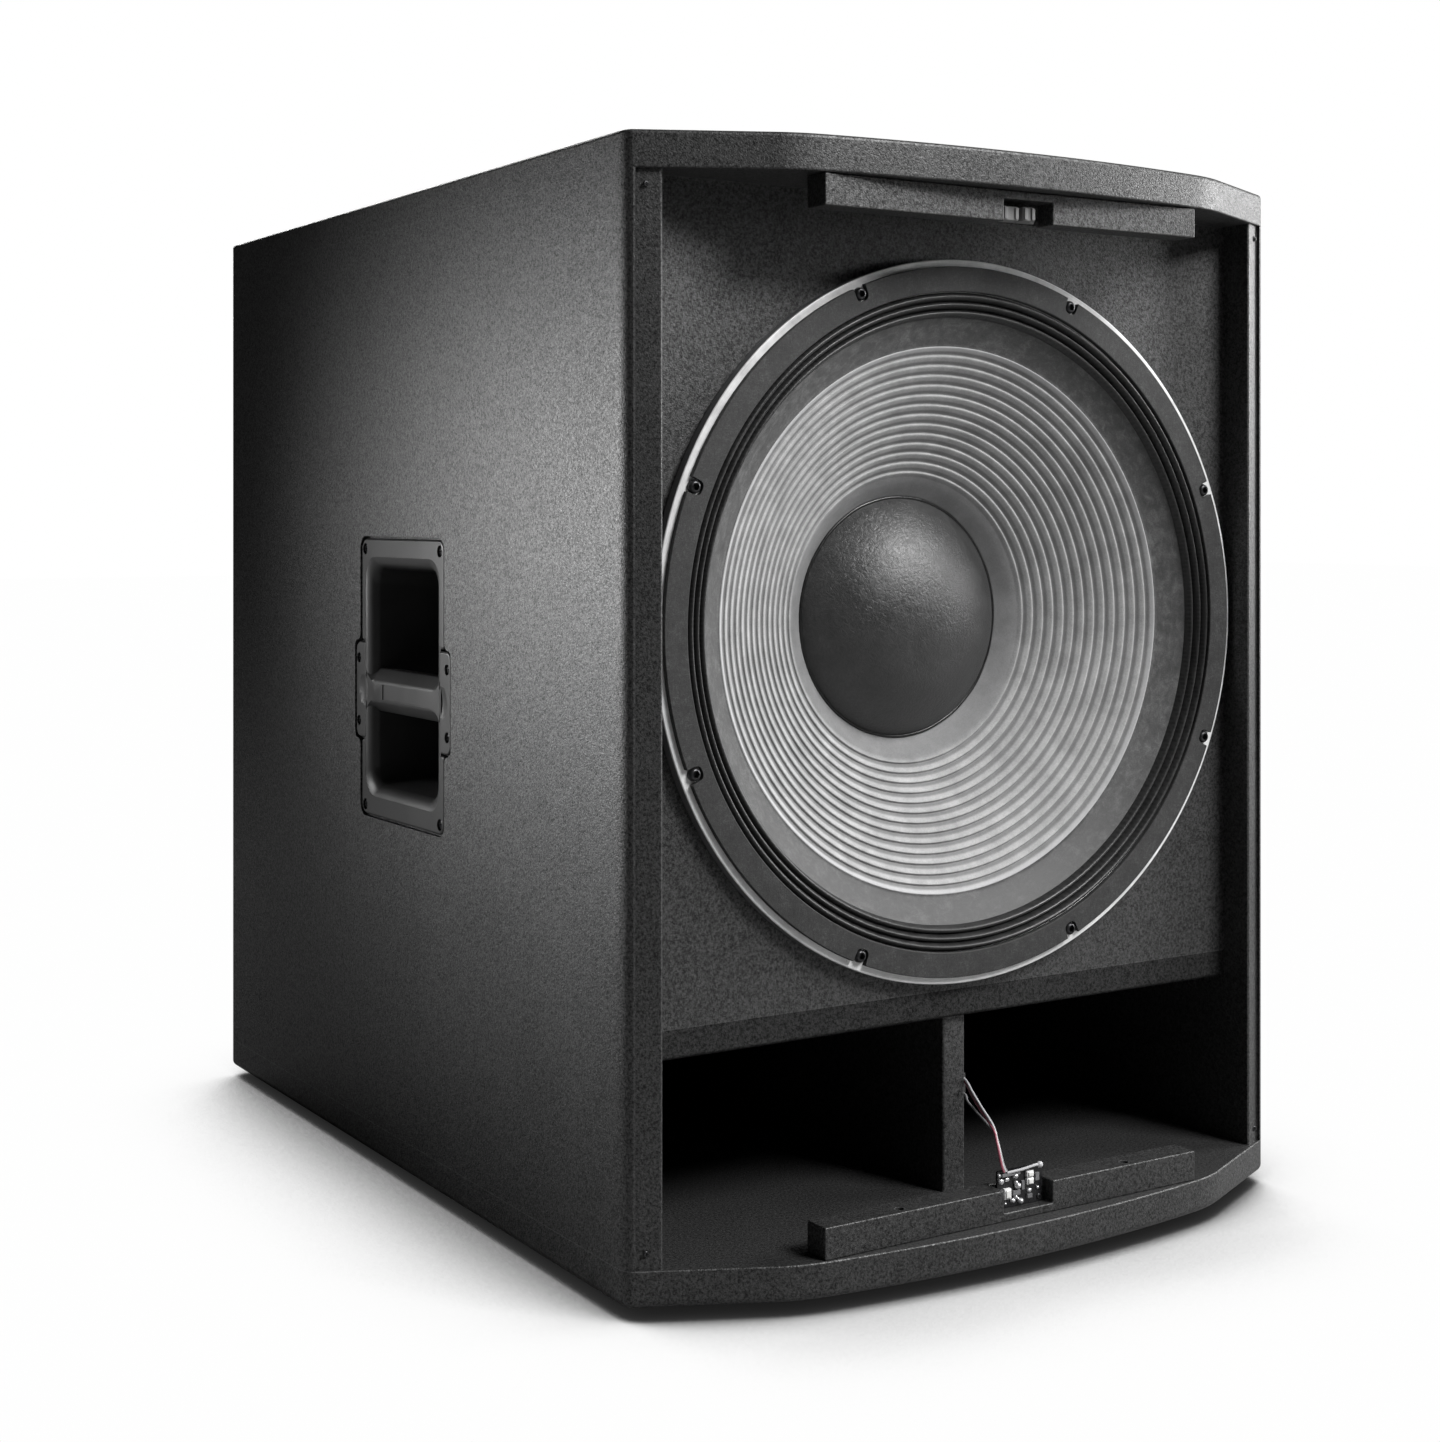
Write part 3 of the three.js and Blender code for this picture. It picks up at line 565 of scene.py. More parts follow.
def ply():
    m = Mat("birch_plywood", spec=0.3)
    grain = m.noise(26, 6, 0.65, 1.2, co=m.scaled((1, 1, 0.06)))
    fine = m.noise(320, 3, 0.6, co=m.scaled((1, 1, 0.05)))
    x, y, z = m.xyz()
    plies = m.wave(120, "Y", profile="SAW")
    c = m.ramp(grain, [(0.25, (0.40, 0.26, 0.13)), (0.5, (0.56, 0.40, 0.22)), (0.75, (0.68, 0.51, 0.31))])
    c = m.mix(m.math("MULTIPLY", plies, 0.25), c, (0.30, 0.18, 0.08))
    m.put("Base Color", c)
    m.put("Roughness", m.span(fine, 0.3, 0.7, 0.6, 0.82))
    m.put("Normal", m.bump(fine, 0.5, 0.12))
    return m.done()


PLY = ply()


def comb(self, x, y, z):
    n = self.add("ShaderNodeCombineXYZ")
    for k, v in enumerate((x, y, z)):
        self.wire(n, k, v)
    return n.outputs[0]


Mat.comb = comb


def rim():
    """Bare cast flange, turned on its face: fine concentric tool marks."""
    m = Mat("turned_aluminium", metal=0.12, spec=0.7)
    r, a = m.polar()
    tool = m.noise(1.0, 3, 0.65, co=m.comb(m.math("MULTIPLY", r, 3600), m.math("MULTIPLY", a, 3.0), 0.0))
    d = m.noise(48, 4, 0.7)
    t = m.math("ADD", m.math("MULTIPLY", d, 0.6), m.math("MULTIPLY", tool, 0.4))
    m.put("Base Color", m.ramp(t, [(0.34, 0.52), (0.5, 0.72), (0.66, 0.90)]))
    m.put("Roughness", m.span(d, 0.3, 0.7, 0.26, 0.46))
    m.put("Normal", m.bump(t, 0.5, 0.08))
    return m.done()


RIM = rim()
CAST = metal("cast_aluminium", (0.20, 0.20, 0.205), 0.55, metal_=0.5, scale=500, mm=0.2)


def gasket():
    """Pressed fibre board: flattened fibres lying every way."""
    m = Mat("pressed_fibre", spec=0.35)
    a = m.noise(420, 5, 0.75, 0.8)
    b = m.noise(70, 4, 0.65)
    f1 = m.noise(260, 3, 0.6, 2.0, co=m.scaled((5, 1, 1), rot=(0.0, 0.6, 0)))
    f2 = m.noise(260, 3, 0.6, 2.0, co=m.scaled((1, 1, 5), rot=(0.0, 0.3, 0)))
    fib = m.math("ADD", m.math("MULTIPLY", f1, 0.5), m.math("MULTIPLY", f2, 0.5))
    t = m.math("ADD", m.math("MULTIPLY", fib, 0.55), m.math("ADD", m.math("MULTIPLY", a, 0.25), m.math("MULTIPLY", b, 0.2)))
    m.put("Base Color", m.ramp(t, [(0.38, 0.012), (0.52, 0.034), (0.62, 0.075)]))
    m.put("Roughness", m.span(t, 0.35, 0.65, 0.62, 0.82))
    m.put("Normal", m.bump(m.math("ADD", fib, m.math("MULTIPLY", a, 0.5)), 0.7, 0.25))
    return m.done()


GASKET = gasket()


def cloth(name, lo, hi, pitch_mm=0.75, rough=(0.5, 0.72), mm=0.10, spec=0.5, blotch=0.35):
    """Plain-woven cloth pressed to shape: two thread directions with coating over it."""
    m = Mat(name, spec=spec)
    k = 1000 / pitch_mm / (2 * math.pi) * 1.0
    u = m.wave(k * 0.5, "X", dist=0.6, detail_scale=2)
    v = m.wave(k * 0.5, "Z", dist=0.6, detail_scale=2)
    w = m.math("MULTIPLY", u, v)
    w2 = m.math("MAXIMUM", m.math("MULTIPLY", u, 0.9), v)
    n = m.noise(90, 5, 0.7)
    f = m.noise(700, 3, 0.6)
    t = m.math("ADD", m.math("MULTIPLY", w2, 0.45), m.math("ADD", m.math("MULTIPLY", n, blotch), m.math("MULTIPLY", f, 0.3)))
    m.put("Base Color", m.ramp(t, [(0.40, lo), (0.80, hi)]))
    m.put("Roughness", m.span(n, 0.3, 0.7, rough[0], rough[1]))
    m.put("Normal", m.bump(m.math("ADD", m.math("MULTIPLY", w2, 0.7), m.math("MULTIPLY", f, 0.5)), 0.6, mm))
    return m.done()


SURROUND = cloth("doped_black_cloth", 0.008, 0.022, rough=(0.34, 0.5))


def edge_cloth():
    """Impregnated cloth bonded to the paper: faint weave, streaky coating with lighter blots."""
    m = Mat("cone_edge_cloth", spec=0.4)
    r, a = m.polar()
    streak = m.noise(1.0, 4, 0.65, 0.8, co=m.comb(m.math("MULTIPLY", r, 260), m.math("MULTIPLY", a, 26), 0.0))
    blot = m.noise(60, 5, 0.72)
    fine = m.noise(1200, 3, 0.6)
    t = m.math("ADD", m.math("MULTIPLY", streak, 0.4), m.math("ADD", m.math("MULTIPLY", blot, 0.35), m.math("MULTIPLY", fine, 0.25)))
    m.put("Base Color", m.ramp(t, [(0.36, 0.040), (0.5, 0.074), (0.64, 0.145)]))
    m.put("Roughness", m.span(t, 0.35, 0.65, 0.5, 0.72))
    m.put("Normal", m.bump(m.math("ADD", streak, m.math("MULTIPLY", fine, 0.6)), 0.5, 0.18))
    return m.done()


CONE_EDGE = edge_cloth()
SPIDER = cloth("spider_cloth", 0.05, 0.11, pitch_mm=1.1, rough=(0.6, 0.8), mm=0.2)


def tinted(mat, tint):
    """Multiply a grey material's colour by a tint."""
    t = mat.node_tree
    b = t.nodes["Principled BSDF"]
    src = b.inputs["Base Color"].links[0].from_socket
    n = t.nodes.new("ShaderNodeMix")
    n.data_type, n.blend_type = "RGBA", "MULTIPLY"
    n.inputs[0].default_value = 1
    t.links.new(src, n.inputs[6])
    n.inputs[7].default_value = (*tint, 1)
    t.links.new(n.outputs[2], b.inputs["Base Color"])
    return mat


tinted(SPIDER, (5.0, 3.4, 1.7))

RIB0, PITCH, NRIB = 95.0, 6.2, 13


def cone_paper():
    """Grey coated paper: soft mottling, short fibres, painted shade darkening the moulded valleys."""
    m = Mat("coated_cone_paper", spec=0.32)
    r, a = m.polar()
    mott = m.noise(55, 5, 0.7)
    fine = m.noise(1100, 3, 0.65)
    fib = m.noise(300, 4, 0.7, 1.5, co=m.comb(m.math("MULTIPLY", r, 3.2), m.math("MULTIPLY", a, 0.12), m.noise(30, 2)))
    t = m.math("ADD", m.math("MULTIPLY", mott, 0.5), m.math("ADD", m.math("MULTIPLY", fine, 0.3), m.math("MULTIPLY", fib, 0.2)))
    col = m.ramp(t, [(0.38, 0.29), (0.5, 0.39), (0.62, 0.50)])
    # depth in the ribs, 0 in a valley and 1 on a crest
    ph = m.math("MULTIPLY", m.math("SUBTRACT", r, RIB0 / 1000), 2 * math.pi / (PITCH / 1000))
    crest = m.math("MULTIPLY_ADD", m.math("COSINE", ph), 0.5, 0.5)
    inside = m.math("MULTIPLY", m.span(r, 0.0925, 0.0955, 0, 1, True), m.span(r, 0.1745, 0.1765, 1, 0, True))
    # painted shade: the rib valleys are darkened as if shaded by the crests
    valley_painted_shade = m.math("MULTIPLY", m.span(crest, 0.02, 0.68, 1.0, 0.0, True), inside)
    col = m.mix(m.math("MULTIPLY", valley_painted_shade, 0.58), col, (0.05, 0.05, 0.051))
    # the outer edge carries a lighter bead, the neck is a little darker towards the cap
    bead = m.math("MULTIPLY", m.span(r, 0.1735, 0.1748, 0, 1, True), m.span(r, 0.1762, 0.1772, 1, 0, True))
    col = m.mix(m.math("MULTIPLY", bead, 0.5), col, (0.50, 0.50, 0.51))
    neck = m.math("MAXIMUM", m.span(r, 0.080, 0.0845, 0.85, 0.0, True), m.span(r, 0.092, 0.098, 0.60, 0.0, True))
    col = m.mix(neck, col, (0.085, 0.085, 0.087))
    m.put("Base Color", col)
    m.put("Roughness", m.span(t, 0.35, 0.65, 0.58, 0.80))
    m.put("Normal", m.bump(m.math("ADD", m.math("MULTIPLY", fine, 0.5), m.math("MULTIPLY", fib, 0.7)), 0.5, 0.22))
    return m.done()


CONE = cone_paper()


def cap_paper():
    m = Mat("treated_cap_paper", spec=0.64)
    big = m.noise(45, 5, 0.72, 0.5)
    fine = m.noise(520, 4, 0.7)
    hair = m.noise(170, 4, 0.7, 2.5)
    t = m.math("ADD", m.math("MULTIPLY", big, 0.45), m.math("ADD", m.math("MULTIPLY", fine, 0.25), m.math("MULTIPLY", hair, 0.3)))
    m.put("Base Color", m.ramp(t, [(0.36, 0.018), (0.5, 0.030), (0.64, 0.048)]))
    m.put("Roughness", m.span(t, 0.35, 0.65, 0.33, 0.49))
    m.put("Normal", m.bump(m.math("ADD", m.math("MULTIPLY", big, 1.6), m.math("ADD", m.math("MULTIPLY", hair, 1.3), m.math("MULTIPLY", fine, 0.9))), 0.6, 0.50))
    return m.done()


CAP = cap_paper()


def simple(name, base, rough=0.5, metal_=0.0, mm=0.05, scale=900, var=0.2, **kw):
    m = Mat(name, metal=metal_, **kw)
    n = m.noise(scale, 3, 0.6)
    m.put("Base Color", m.ramp(n, [(0.3, tuple(c * (1 - var) for c in base)), (0.7, tuple(min(1, c * (1 + var)) for c in base))]))
    m.put("Roughness", m.span(n, 0.3, 0.7, max(0.05, rough - 0.08), rough + 0.08))
    m.put("Normal", m.bump(n, 0.4, mm))
    return m.done()


GLUE = simple("black_glue", (0.006, 0.006, 0.006), 0.35, mm=0.25, scale=300)
PCB_BLACK = simple("black_solder_mask", (0.008, 0.008, 0.009), 0.3, scale=500)
PCB_GREEN = simple("green_solder_mask", (0.02, 0.12, 0.05), 0.35, scale=500)
SOLDER = simple("solder", (0.62, 0.62, 0.63), 0.28, metal_=0.7, mm=0.1, scale=1500)
CERAMIC = simple("white_lamp_body", (0.80, 0.80, 0.80), 0.4, scale=1800, var=0.08)
PHOSPHOR = simple("lamp_lens", (0.78, 0.78, 0.76), 0.2, scale=1200, var=0.06)
CHIP = simple("chip_body", (0.16, 0.16, 0.165), 0.45, scale=1500)
WIRE_RED = simple("red_insulation", (0.30, 0.085, 0.115), 0.36, scale=700, var=0.12)
WIRE_DARK = simple("dark_grey_insulation", (0.20, 0.20, 0.205), 0.4, scale=700, var=0.12)
WIRE_GREY = simple("grey_insulation", (0.46, 0.46, 0.47), 0.38, scale=700, var=0.12)
WIRE_BLACK = simple("black_insulation", (0.02, 0.02, 0.02), 0.42, scale=700)
PRINT = simple("dial_print", (0.62, 0.62, 0.62), 0.55, scale=1500, var=0.08)
LAMP_OFF = simple("indicator_lens", (0.06, 0.20, 0.10), 0.15, scale=900, var=0.1)
LAMP_RED = simple("indicator_lens_red", (0.28, 0.03, 0.02), 0.15, scale=900, var=0.1)
DARK = simple("recess_black", (0.004, 0.004, 0.004), 0.7, scale=700)

# ------------------------------------------------------------------ box panels
BOW = 58.5


def front_half():
    pts = [(x, -BOW + x * x / 2000) for x in [i * 10.5 for i in range(0, 15)]]
    a, c, b = (147, -BOW + 147 ** 2 / 2000), (163.2, -45.3), (176, -39.2)
    for k in range(1, 7):
        t = k / 6
        pts.append(tuple((1 - t) ** 2 * a[i] + 2 * t * (1 - t) * c[i] + t * t * b[i] for i in range(2)))
    pts.append((212, -21.94))
    a, c, b = (251.0, -3.24), (256, -0.88), (256, 11)
    for k in range(0, 7):
        t = k / 6
        pts.append(tuple((1 - t) ** 2 * a[i] + 2 * t * (1 - t) * c[i] + t * t * b[i] for i in range(2)))
    return pts


FH = front_half()
REAR = fillet([(256, 300), (256, 660), (0, 660)], 4.5, 5, closed=False)[1:-1]
half = FH + [(256, 240), (256, 400)] + REAR
plan = half + [(-x, y) for x, y in reversed(half) if abs(x) > 1e-6]
# the front stretch, where the inner edge of a panel may be eased without opening a joint
front_f = [1.0 if (y < 0 and abs(x) < 249) else 0.0 for x, y in plan]


def panel_steps(z_in, z_out, r_out, r_in):
    s = 1 if z_out > z_in else -1
    st = []
    for k in range(4):
        t = math.pi / 2 * k / 3
        st.append((offset(plan, [f * r_in * (1 - math.sin(t)) for f in front_f]), z_in + s * r_in * (1 - math.cos(t))))
    for k in range(0, 8):
        t = math.pi / 2 * k / 7
        st.append((offset(plan, r_out * (1 - math.cos(t))), z_out - s * r_out * (1 - math.sin(t))))
    return st


top = raw("top_panel_painted", [layers("z", panel_steps(658, 680, 2.8, 1.2))])
carve(top, [
    prism("z", circle(38.5, 96, (0, 320)), 677, 690),
    prism("z", circle(22.1, 64, (0, 320)), 640, 690),
])
finish_piece(top, PAINT, slot="cabinet_paint", stands=["top_panel"])
bottom = raw("bottom_panel_painted", [layers("z", panel_steps(22, 0, 5.0, 1.2))])
finish_piece(bottom, PAINT_WORN, slot="cabinet_paint", stands=["bottom_panel"])

# side panel in plan: lip outside, shallow rabbet, grille seat, rounded back corner
lip = [p for p in FH if p[0] >= 250.7]
side_plan = (
    fillet([(234, 655), (234, -9), (250, -1.0), (250, lip[0][1] + 0.2)], [0, 1.6, 0.5, 0.0], 3, closed=False)[1:-1]
    + [(250, -3.6), (250.6, lip[0][1] - 0.0)]
    + lip
    + [(256, 240), (256, 400)]
    + REAR[:-1]
    + [(249, 660)]
    + fillet([(249, 660), (234, 660), (234, 640)], 2, 3, closed=False)[1:-1]
    + [(234, 640), (234, 300)]
)


def dedupe(pts, d=0.02):
    out = []
    for p in pts:
        if not out or (Vector(p) - Vector(out[-1])).length > d:
            out.append(p)
    return out


side_plan = dedupe(side_plan)
HY = 315.0
recess = fillet([
    (HY - 71.6, 240.4), (HY + 71.6, 240.4), (HY + 71.6, 295.4), (HY + 81.6, 295.4), (HY + 81.6, 366.6),
    (HY + 71.6, 366.6), (HY + 71.6, 441.6), (HY - 71.6, 441.6), (HY - 71.6, 366.6), (HY - 81.6, 366.6),
    (HY - 81.6, 295.4), (HY - 71.6, 295.4)], [9, 9, 5, 7, 7, 5, 9, 9, 5, 7, 7, 5], 5)
for s, side in ((-1, "left"), (1, "right")):
    sp = [(s * x, y) for x, y in side_plan]
    ob = raw(side + "_side_panel_painted", [prism("z", sp, 22, 658)])
    carve(ob, [
        prism("x", recess, s * 252, s * 270),
        prism("x", rrect(250, 380, 254, 429, 14), s * 225, s * 270),
    ])
    bm = bmesh.new()
    bm.from_mesh(ob.data)
    face_x = s * 0.256
    # round the lip of the handle recess
    es = [e for e in bm.edges if all(abs(v.co.x - face_x) < 1e-5 and -0.075 < v.co.y < 0.105 and 0.24 < v.co.z < 0.455 for v in e.verts)
          and len(e.link_faces) == 2 and abs(e.link_faces[0].normal.dot(e.link_faces[1].normal)) < 0.5]
    bmesh.ops.bevel(bm, geom=es, offset=0.0011, segments=3, profile=0.5, affect="EDGES", clamp_overlap=True)
    bm.to_mesh(ob.data)
    bm.free()
    finish_piece(ob, PAINT, slot="cabinet_paint", stands=[side + "_side_panel"])

shelf = fillet([(15, 135), (15, 153), (470, 153), (470, 135)], [2.6, 0, 0, 1], 5)
# the duct ceiling takes the darker paint copy: painted shade
piece("port_shelf_painted", [prism("x", shelf, -234, 234)], PAINT_DUCT_SHADE, slot="cabinet_paint", stands=["port_shelf"])
div = fillet([(-9, 20), (9, 20), (9, 470), (-9, 470)], 1.8, 4)
piece("port_divider_painted", [prism("z", div, 22, 135)], PAINT, slot="cabinet_paint", stands=["port_divider"])

for s, side in ((-1, "left"), (1, "right")):
    piece(side + "_grille_seat_screws", [screw((s * 243.6, -4.6, z), "y", -1, 1.9, 0.9) for z in (648.5, 31.5)], BOLT_BLACK, slot="black_steel")

# ------------------------------------------------------------------ grille battens
def batten(name, node, z0, z1, notch, holes):
    ob = raw(name, [cube(-147, 147, -46.6, -27.5, z0, z1)])
    carve(ob, [cube(-13, 26, -50, -31.6, *notch)])
    bevel(ob, 0.9, 3)
    if holes:
        carve(ob, [[prism("z", circle(3.1, 24, (x, -40.4)), z1 - 3, z1 + 2) for x in (-88.6, 90.7)]])
    finish_piece(ob, PAINT_WORN, slot="cabinet_paint", stands=[node])


batten("upper_batten_painted", "upper_grille_batten", 638.5, 657.7, (630, 652.5), False)
batten("lower_batten_painted", "lower_grille_batten", 22, 41.2, (27.2, 50), True)
piece("batten_screws", [screw((x, -40.4, 38.3), "z", 1, 2.7, 1.2) for x in (-88.6, 90.7)], BOLT_BLACK, slot="black_steel")
# catch blocks: each a small U of two cheeks and a bridge on one backing strip
catch = [soft_cube(-11.5, 21, -34.4, -31.9, 640, 649.5, 0.3)]
for x0, x1, z0, z1 in ((-11.5, 1.2, 639.6, 648.6), (4.4, 14.4, 640, 649)):
    catch += [soft_cube(x0, x1, -43.2, -34.2, z0, z1, 0.9, 3), soft_cube(x0 + 0.8, x0 + 3.4, -44.4, -43.0, z0 + 0.8, z1 - 0.8, 0.5),
              soft_cube(x1 - 3.4, x1 - 0.8, -44.4, -43.0, z0 + 0.8, z1 - 0.8, 0.5)]
piece("catch_blocks", catch, CATCH, slot="moulded_plastic", stands=["upper_grille_catch"])

# ------------------------------------------------------------------ light board
board = raw("light_board", [prism("y", rrect(-12.4, 23.8, 27.5, 50.9, 1.2), -39, -37.5)])
carve(board, [prism("y", circle(1.3, 20, (-9.6, 30.4)), -41, -36), prism("y", circle(1.3, 20, (20.8, 30.4)), -41, -36)])
finish_piece(board, PCB_BLACK, slot="circuit_board", stands=["led_board"])


def lampb(name, x0, x1, z0, z1, h=3.0):
    w, t = x1 - x0, z1 - z0
    piece(name + "_body", [soft_cube(x0, x1, -39 - h * 0.7, -38.9, z0, z1, 0.35, 2)], CERAMIC, slot="circuit_board")
    piece(name + "_lens", [soft_cube(x0 + w * 0.14, x1 - w * 0.14, -39 - h, -39 - h * 0.6, z0 + t * 0.14, z1 - t * 0.14, 0.5, 3)], PHOSPHOR, slot="circuit_board")


lampb("lamp_lower_left", -8.2, -2.8, 33.2, 39.8)
lampb("lamp_upper_right_a", 9.8, 15.2, 44.2, 48.0)
lampb("lamp_upper_right_b", 9.9, 15.1, 39.6, 43.8)
bits = [
    blob((-9.8, -39.4, 44.4), 1.9, 1.2, 0.8, 1.0), blob((-5.2, -39.4, 45.0), 1.5, 1.3, 0.8, 1), blob((-11.3, -39.3, 48.2), 1.2),
    blob((1.4, -39.6, 46.4), 1.9, 1.1, 1, 0.9), blob((3.0, -39.8, 40.0), 2.2, 1.1, 1, 1.0), blob((1.8, -39.8, 42.0), 1.6),
    blob((-0.6, -39.5, 31.4), 1.6, 1.3, 0.9, 1), blob((1.6, -39.5, 33.2), 1.5), blob((5.6, -39.6, 30.2), 1.9, 1.1, 1, 1),
    blob((3.4, -39.4, 31.8), 1.1), blob((12.6, -39.4, 35.6), 1.6, 1.2, 0.8, 0.9), blob((-6.5, -39.3, 30.2), 1.0), blob((19.4, -39.3, 36.4), 1.1),
]
piece("solder_joints", bits, SOLDER, slot="bright_metal")
piece("board_chips", [
    soft_cube(-0.9, 4.9, -40.6, -38.9, 34.4, 37.6, 0.25), soft_cube(6.4, 8.6, -40.2, -38.9, 37.0, 42.6, 0.2),
    soft_cube(10.8, 14.8, -40.3, -38.9, 31.0, 33.6, 0.2), soft_cube(17.2, 20.2, -40.4, -38.9, 41.0, 46.0, 0.3),
    soft_cube(-11.2, -8.8, -40.0, -38.9, 35.4, 39.4, 0.2), soft_cube(-9.8, 4.6, -40.9, -38.9, 47.2, 49.2, 0.3)], CHIP, slot="circuit_board")
piece("board_screws", [screw((-9.6, -39.0, 30.4), "y", -1, 1.9, 0.9), screw((20.8, -39.0, 30.4), "y", -1, 1.9, 0.9)], BOLT_BLACK, slot="black_steel")
# bare jumper across the top of the board, ending in a ball of solder, and the two-wire lead
piece("board_jumper", [tube([(-5.6, -40.2, 49.4), (0, -41.0, 49.9), (7, -41.2, 50.3), (14, -41.0, 51.0), (20.4, -40.2, 51.0)], 0.85, 10),
                       blob((20.6, -40.2, 50.6), 2.1, 1.1, 0.9, 1.0, 16)], WIRE_GREY, slot="wire_insulation")
lead = [(-7.1, -40.6, 50.4), (-8.6, -39.6, 54.6), (-8.6, -37.0, 61.3), (-7.7, -33.0, 68.3), (-6.3, -28.5, 74.4), (-6.0, -23.0, 79.1), (-4.4, -14.0, 83.5), (1.2, 2.0, 88.5), (10.4, 22.6, 91.9), (11.3, 40, 93)]
lead2 = [(-6.0, -40.4, 50.2), (-7.4, -38.8, 54.8), (-7.3, -36.0, 61.0), (-6.6, -32.0, 67.6), (-6.6, -28.0, 72.6), (-7.6, -20.5, 77.6), (-5.0, -8.0, 80.6), (1.8, 8.0, 81.6), (10.4, 22.6, 82.2), (11.3, 40, 83)]
lead3 = [(-8.3, -40.4, 50.3), (-9.9, -40.2, 54.4), (-9.9, -38.0, 61.0), (-8.9, -34.2, 68.0), (-7.2, -29.4, 73.2), (-6.4, -22.6, 77.6), (-4.8, -13.0, 82.1), (0.9, 3.0, 87.1), (10.3, 23.0, 90.5), (11.2, 40, 91.5)]
piece("lead_grey_upper", [tube(lead, 0.80, 12, 8)], WIRE_GREY, slot="wire_insulation", stands=["led_cable"])
piece("lead_red", [tube(lead3, 0.80, 12, 8)], WIRE_RED, slot="wire_insulation")
piece("lead_grey_lower", [tube(lead2, 0.75, 12, 8)], WIRE_DARK, slot="wire_insulation")
piece("lead_clip", [soft_cube(9.0, 13.2, 24.5, 29.5, 79.5, 95.0, 0.8)], PLASTIC, slot="moulded_plastic")

# ------------------------------------------------------------------ driver
ANG = [math.pi / 8 + k * math.pi / 4 for k in range(8)]
BC = 221.7
n_big = 288
rim_prof = fillet([
    (231, 7), (231, 15), (211.5, 15), (211.5, 36), (124, 150), (124, 158), (56, 158), (56, 151), (108, 151), (108, 125), (134, 125),
    (205, 34), (205, 22), (209.9, 14), (209.9, 7)], [0.9, 0.8, 0.5, 2, 2, 0.6, 0.4, 0.4, 2, 1, 2, 2, 2, 0.5, 0.4], 4)


def nick(r, y, t):
    """Small dents and a burr near the lower bolts of the flange edge."""
    if r < 226 or y > 10:
        return 0.0
    d = 0.0
    for a0, w, h in ((-1.965, 0.020, 0.35), (-1.93, 0.012, -0.3), (-1.16, 0.016, 0.3), (-2.74, 0.014, 0.25), (-1.99, 0.010, -0.25)):
        d += h * math.exp(-((t - (a0 % (2 * math.pi))) / w) ** 2)
    return min(d, 0.0) if r > 230.9 else d


basket = raw("basket_casting", [lathe(rim_prof, n_big)])
wins = []
for k in range(8):
    a = math.radians(k * 45 + 22.5)
    v, f = cube(128, 240, 50, 116, -43, 43)
    wins.append(([(x * math.cos(a) - z * math.sin(a), y, x * math.sin(a) + z * math.cos(a) + DZ) for x, y, z in v], f))
carve(basket, [wins])
carve(basket, [[prism("y", circle(3, 20, (BC * math.cos(t), DZ + BC * math.sin(t))), 5, 17) for t in ANG]])
def basket_part(c):
    r, y = math.hypot(c.x, c.z - (DZ + Z0) / 1000) * 1000, c.y * 1000 + Y0
    return 0 if (y < 8.3 and r > 209.5) else 1


finish_piece(basket, [RIM, CAST], slot="cast_aluminium", stands=["driver_basket"], face_mat=basket_part)

g = raw("gasket_board", [lathe(fillet([(210.2, 3.5), (226.3, 3.5), (226.3, 7), (210.2, 7)], [0.9, 0.6, 0.1, 0.1], 3), n_big)])
slots = []
for t in ANG:
    out = fillet([(216.8, -4.6), (240, -5.4), (240, 5.4), (216.8, 4.6)], [3.6, 0, 0, 3.6], 5)
    rot = [(x * math.cos(t) - z * math.sin(t), x * math.sin(t) + z * math.cos(t) + DZ) for x, z in out]
    slots.append(prism("y", rot, -3, 12))
carve(g, [slots])
finish_piece(g, GASKET, slot="gasket_fibre", stands=["gasket_ring"])
for k, t in enumerate(ANG):
    c = (BC * math.cos(t), 3.0 + 3.9, DZ + BC * math.sin(t))
    head = screw(c, "y", -1, 4.2, 3.7, "hex", 48)
    shank = lathe([(1.2, 7.0), (2.5, 7.0), (2.5, 43), (1.2, 44)], 24, (c[0], c[2]))
    piece("flange_bolt_%d" % (k + 1), [head, shank], BOLT_BLACK, slot="black_steel", stands=["driver_bolt_%d" % (k + 1)])


def roll(r0, r1, y0, y1, h, n):
    """One half-roll from (r0,y0) to (r1,y1) that stands h towards the front."""
    return [(r0 + (r1 - r0) * k / n, y0 + (y1 - y0) * k / n - h * math.sin(math.pi * k / n) ** 0.8) for k in range(n)]


def sur_front():
    p = []
    for (r0, y0), (r1, y1), h in (((194.3, 11.9), (199.4, 10.6), 3.9), ((199.4, 10.6), (204.4, 8.6), 4.3), ((204.4, 8.6), (209.5, 7.0), 4.0)):
        p += roll(r0, r1, y0, y1, h, 12)
    p.append((209.5, 7.0))
    return p


sf = sur_front()
ob = raw("surround_rolls", [lathe(sf + [(r, y + 0.75) for r, y in reversed(sf)], n_big)])
finish_piece(ob, SURROUND, body=None, slot="surround_cloth", stands=["surround"], angle=60)
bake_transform(ob, "cabinet", "cone_assembly", start=(0.2095, 0, (DZ + Z0) / 1000), end=(0.1945, 0, (DZ + Z0) / 1000))


def radial_blend(ob, r_cab, r_cone):
    at = ob.data.attributes["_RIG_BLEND"]
    for i, v in enumerate(ob.data.vertices):
        r = math.hypot(v.co.x, v.co.z - (DZ + Z0) / 1000) * 1000
        t = max(0.0, min(1.0, (r - r_cab) / (r_cone - r_cab)))
        at.data[i].value = t * t * (3 - 2 * t)


radial_blend(ob, 209.3, 194.6)


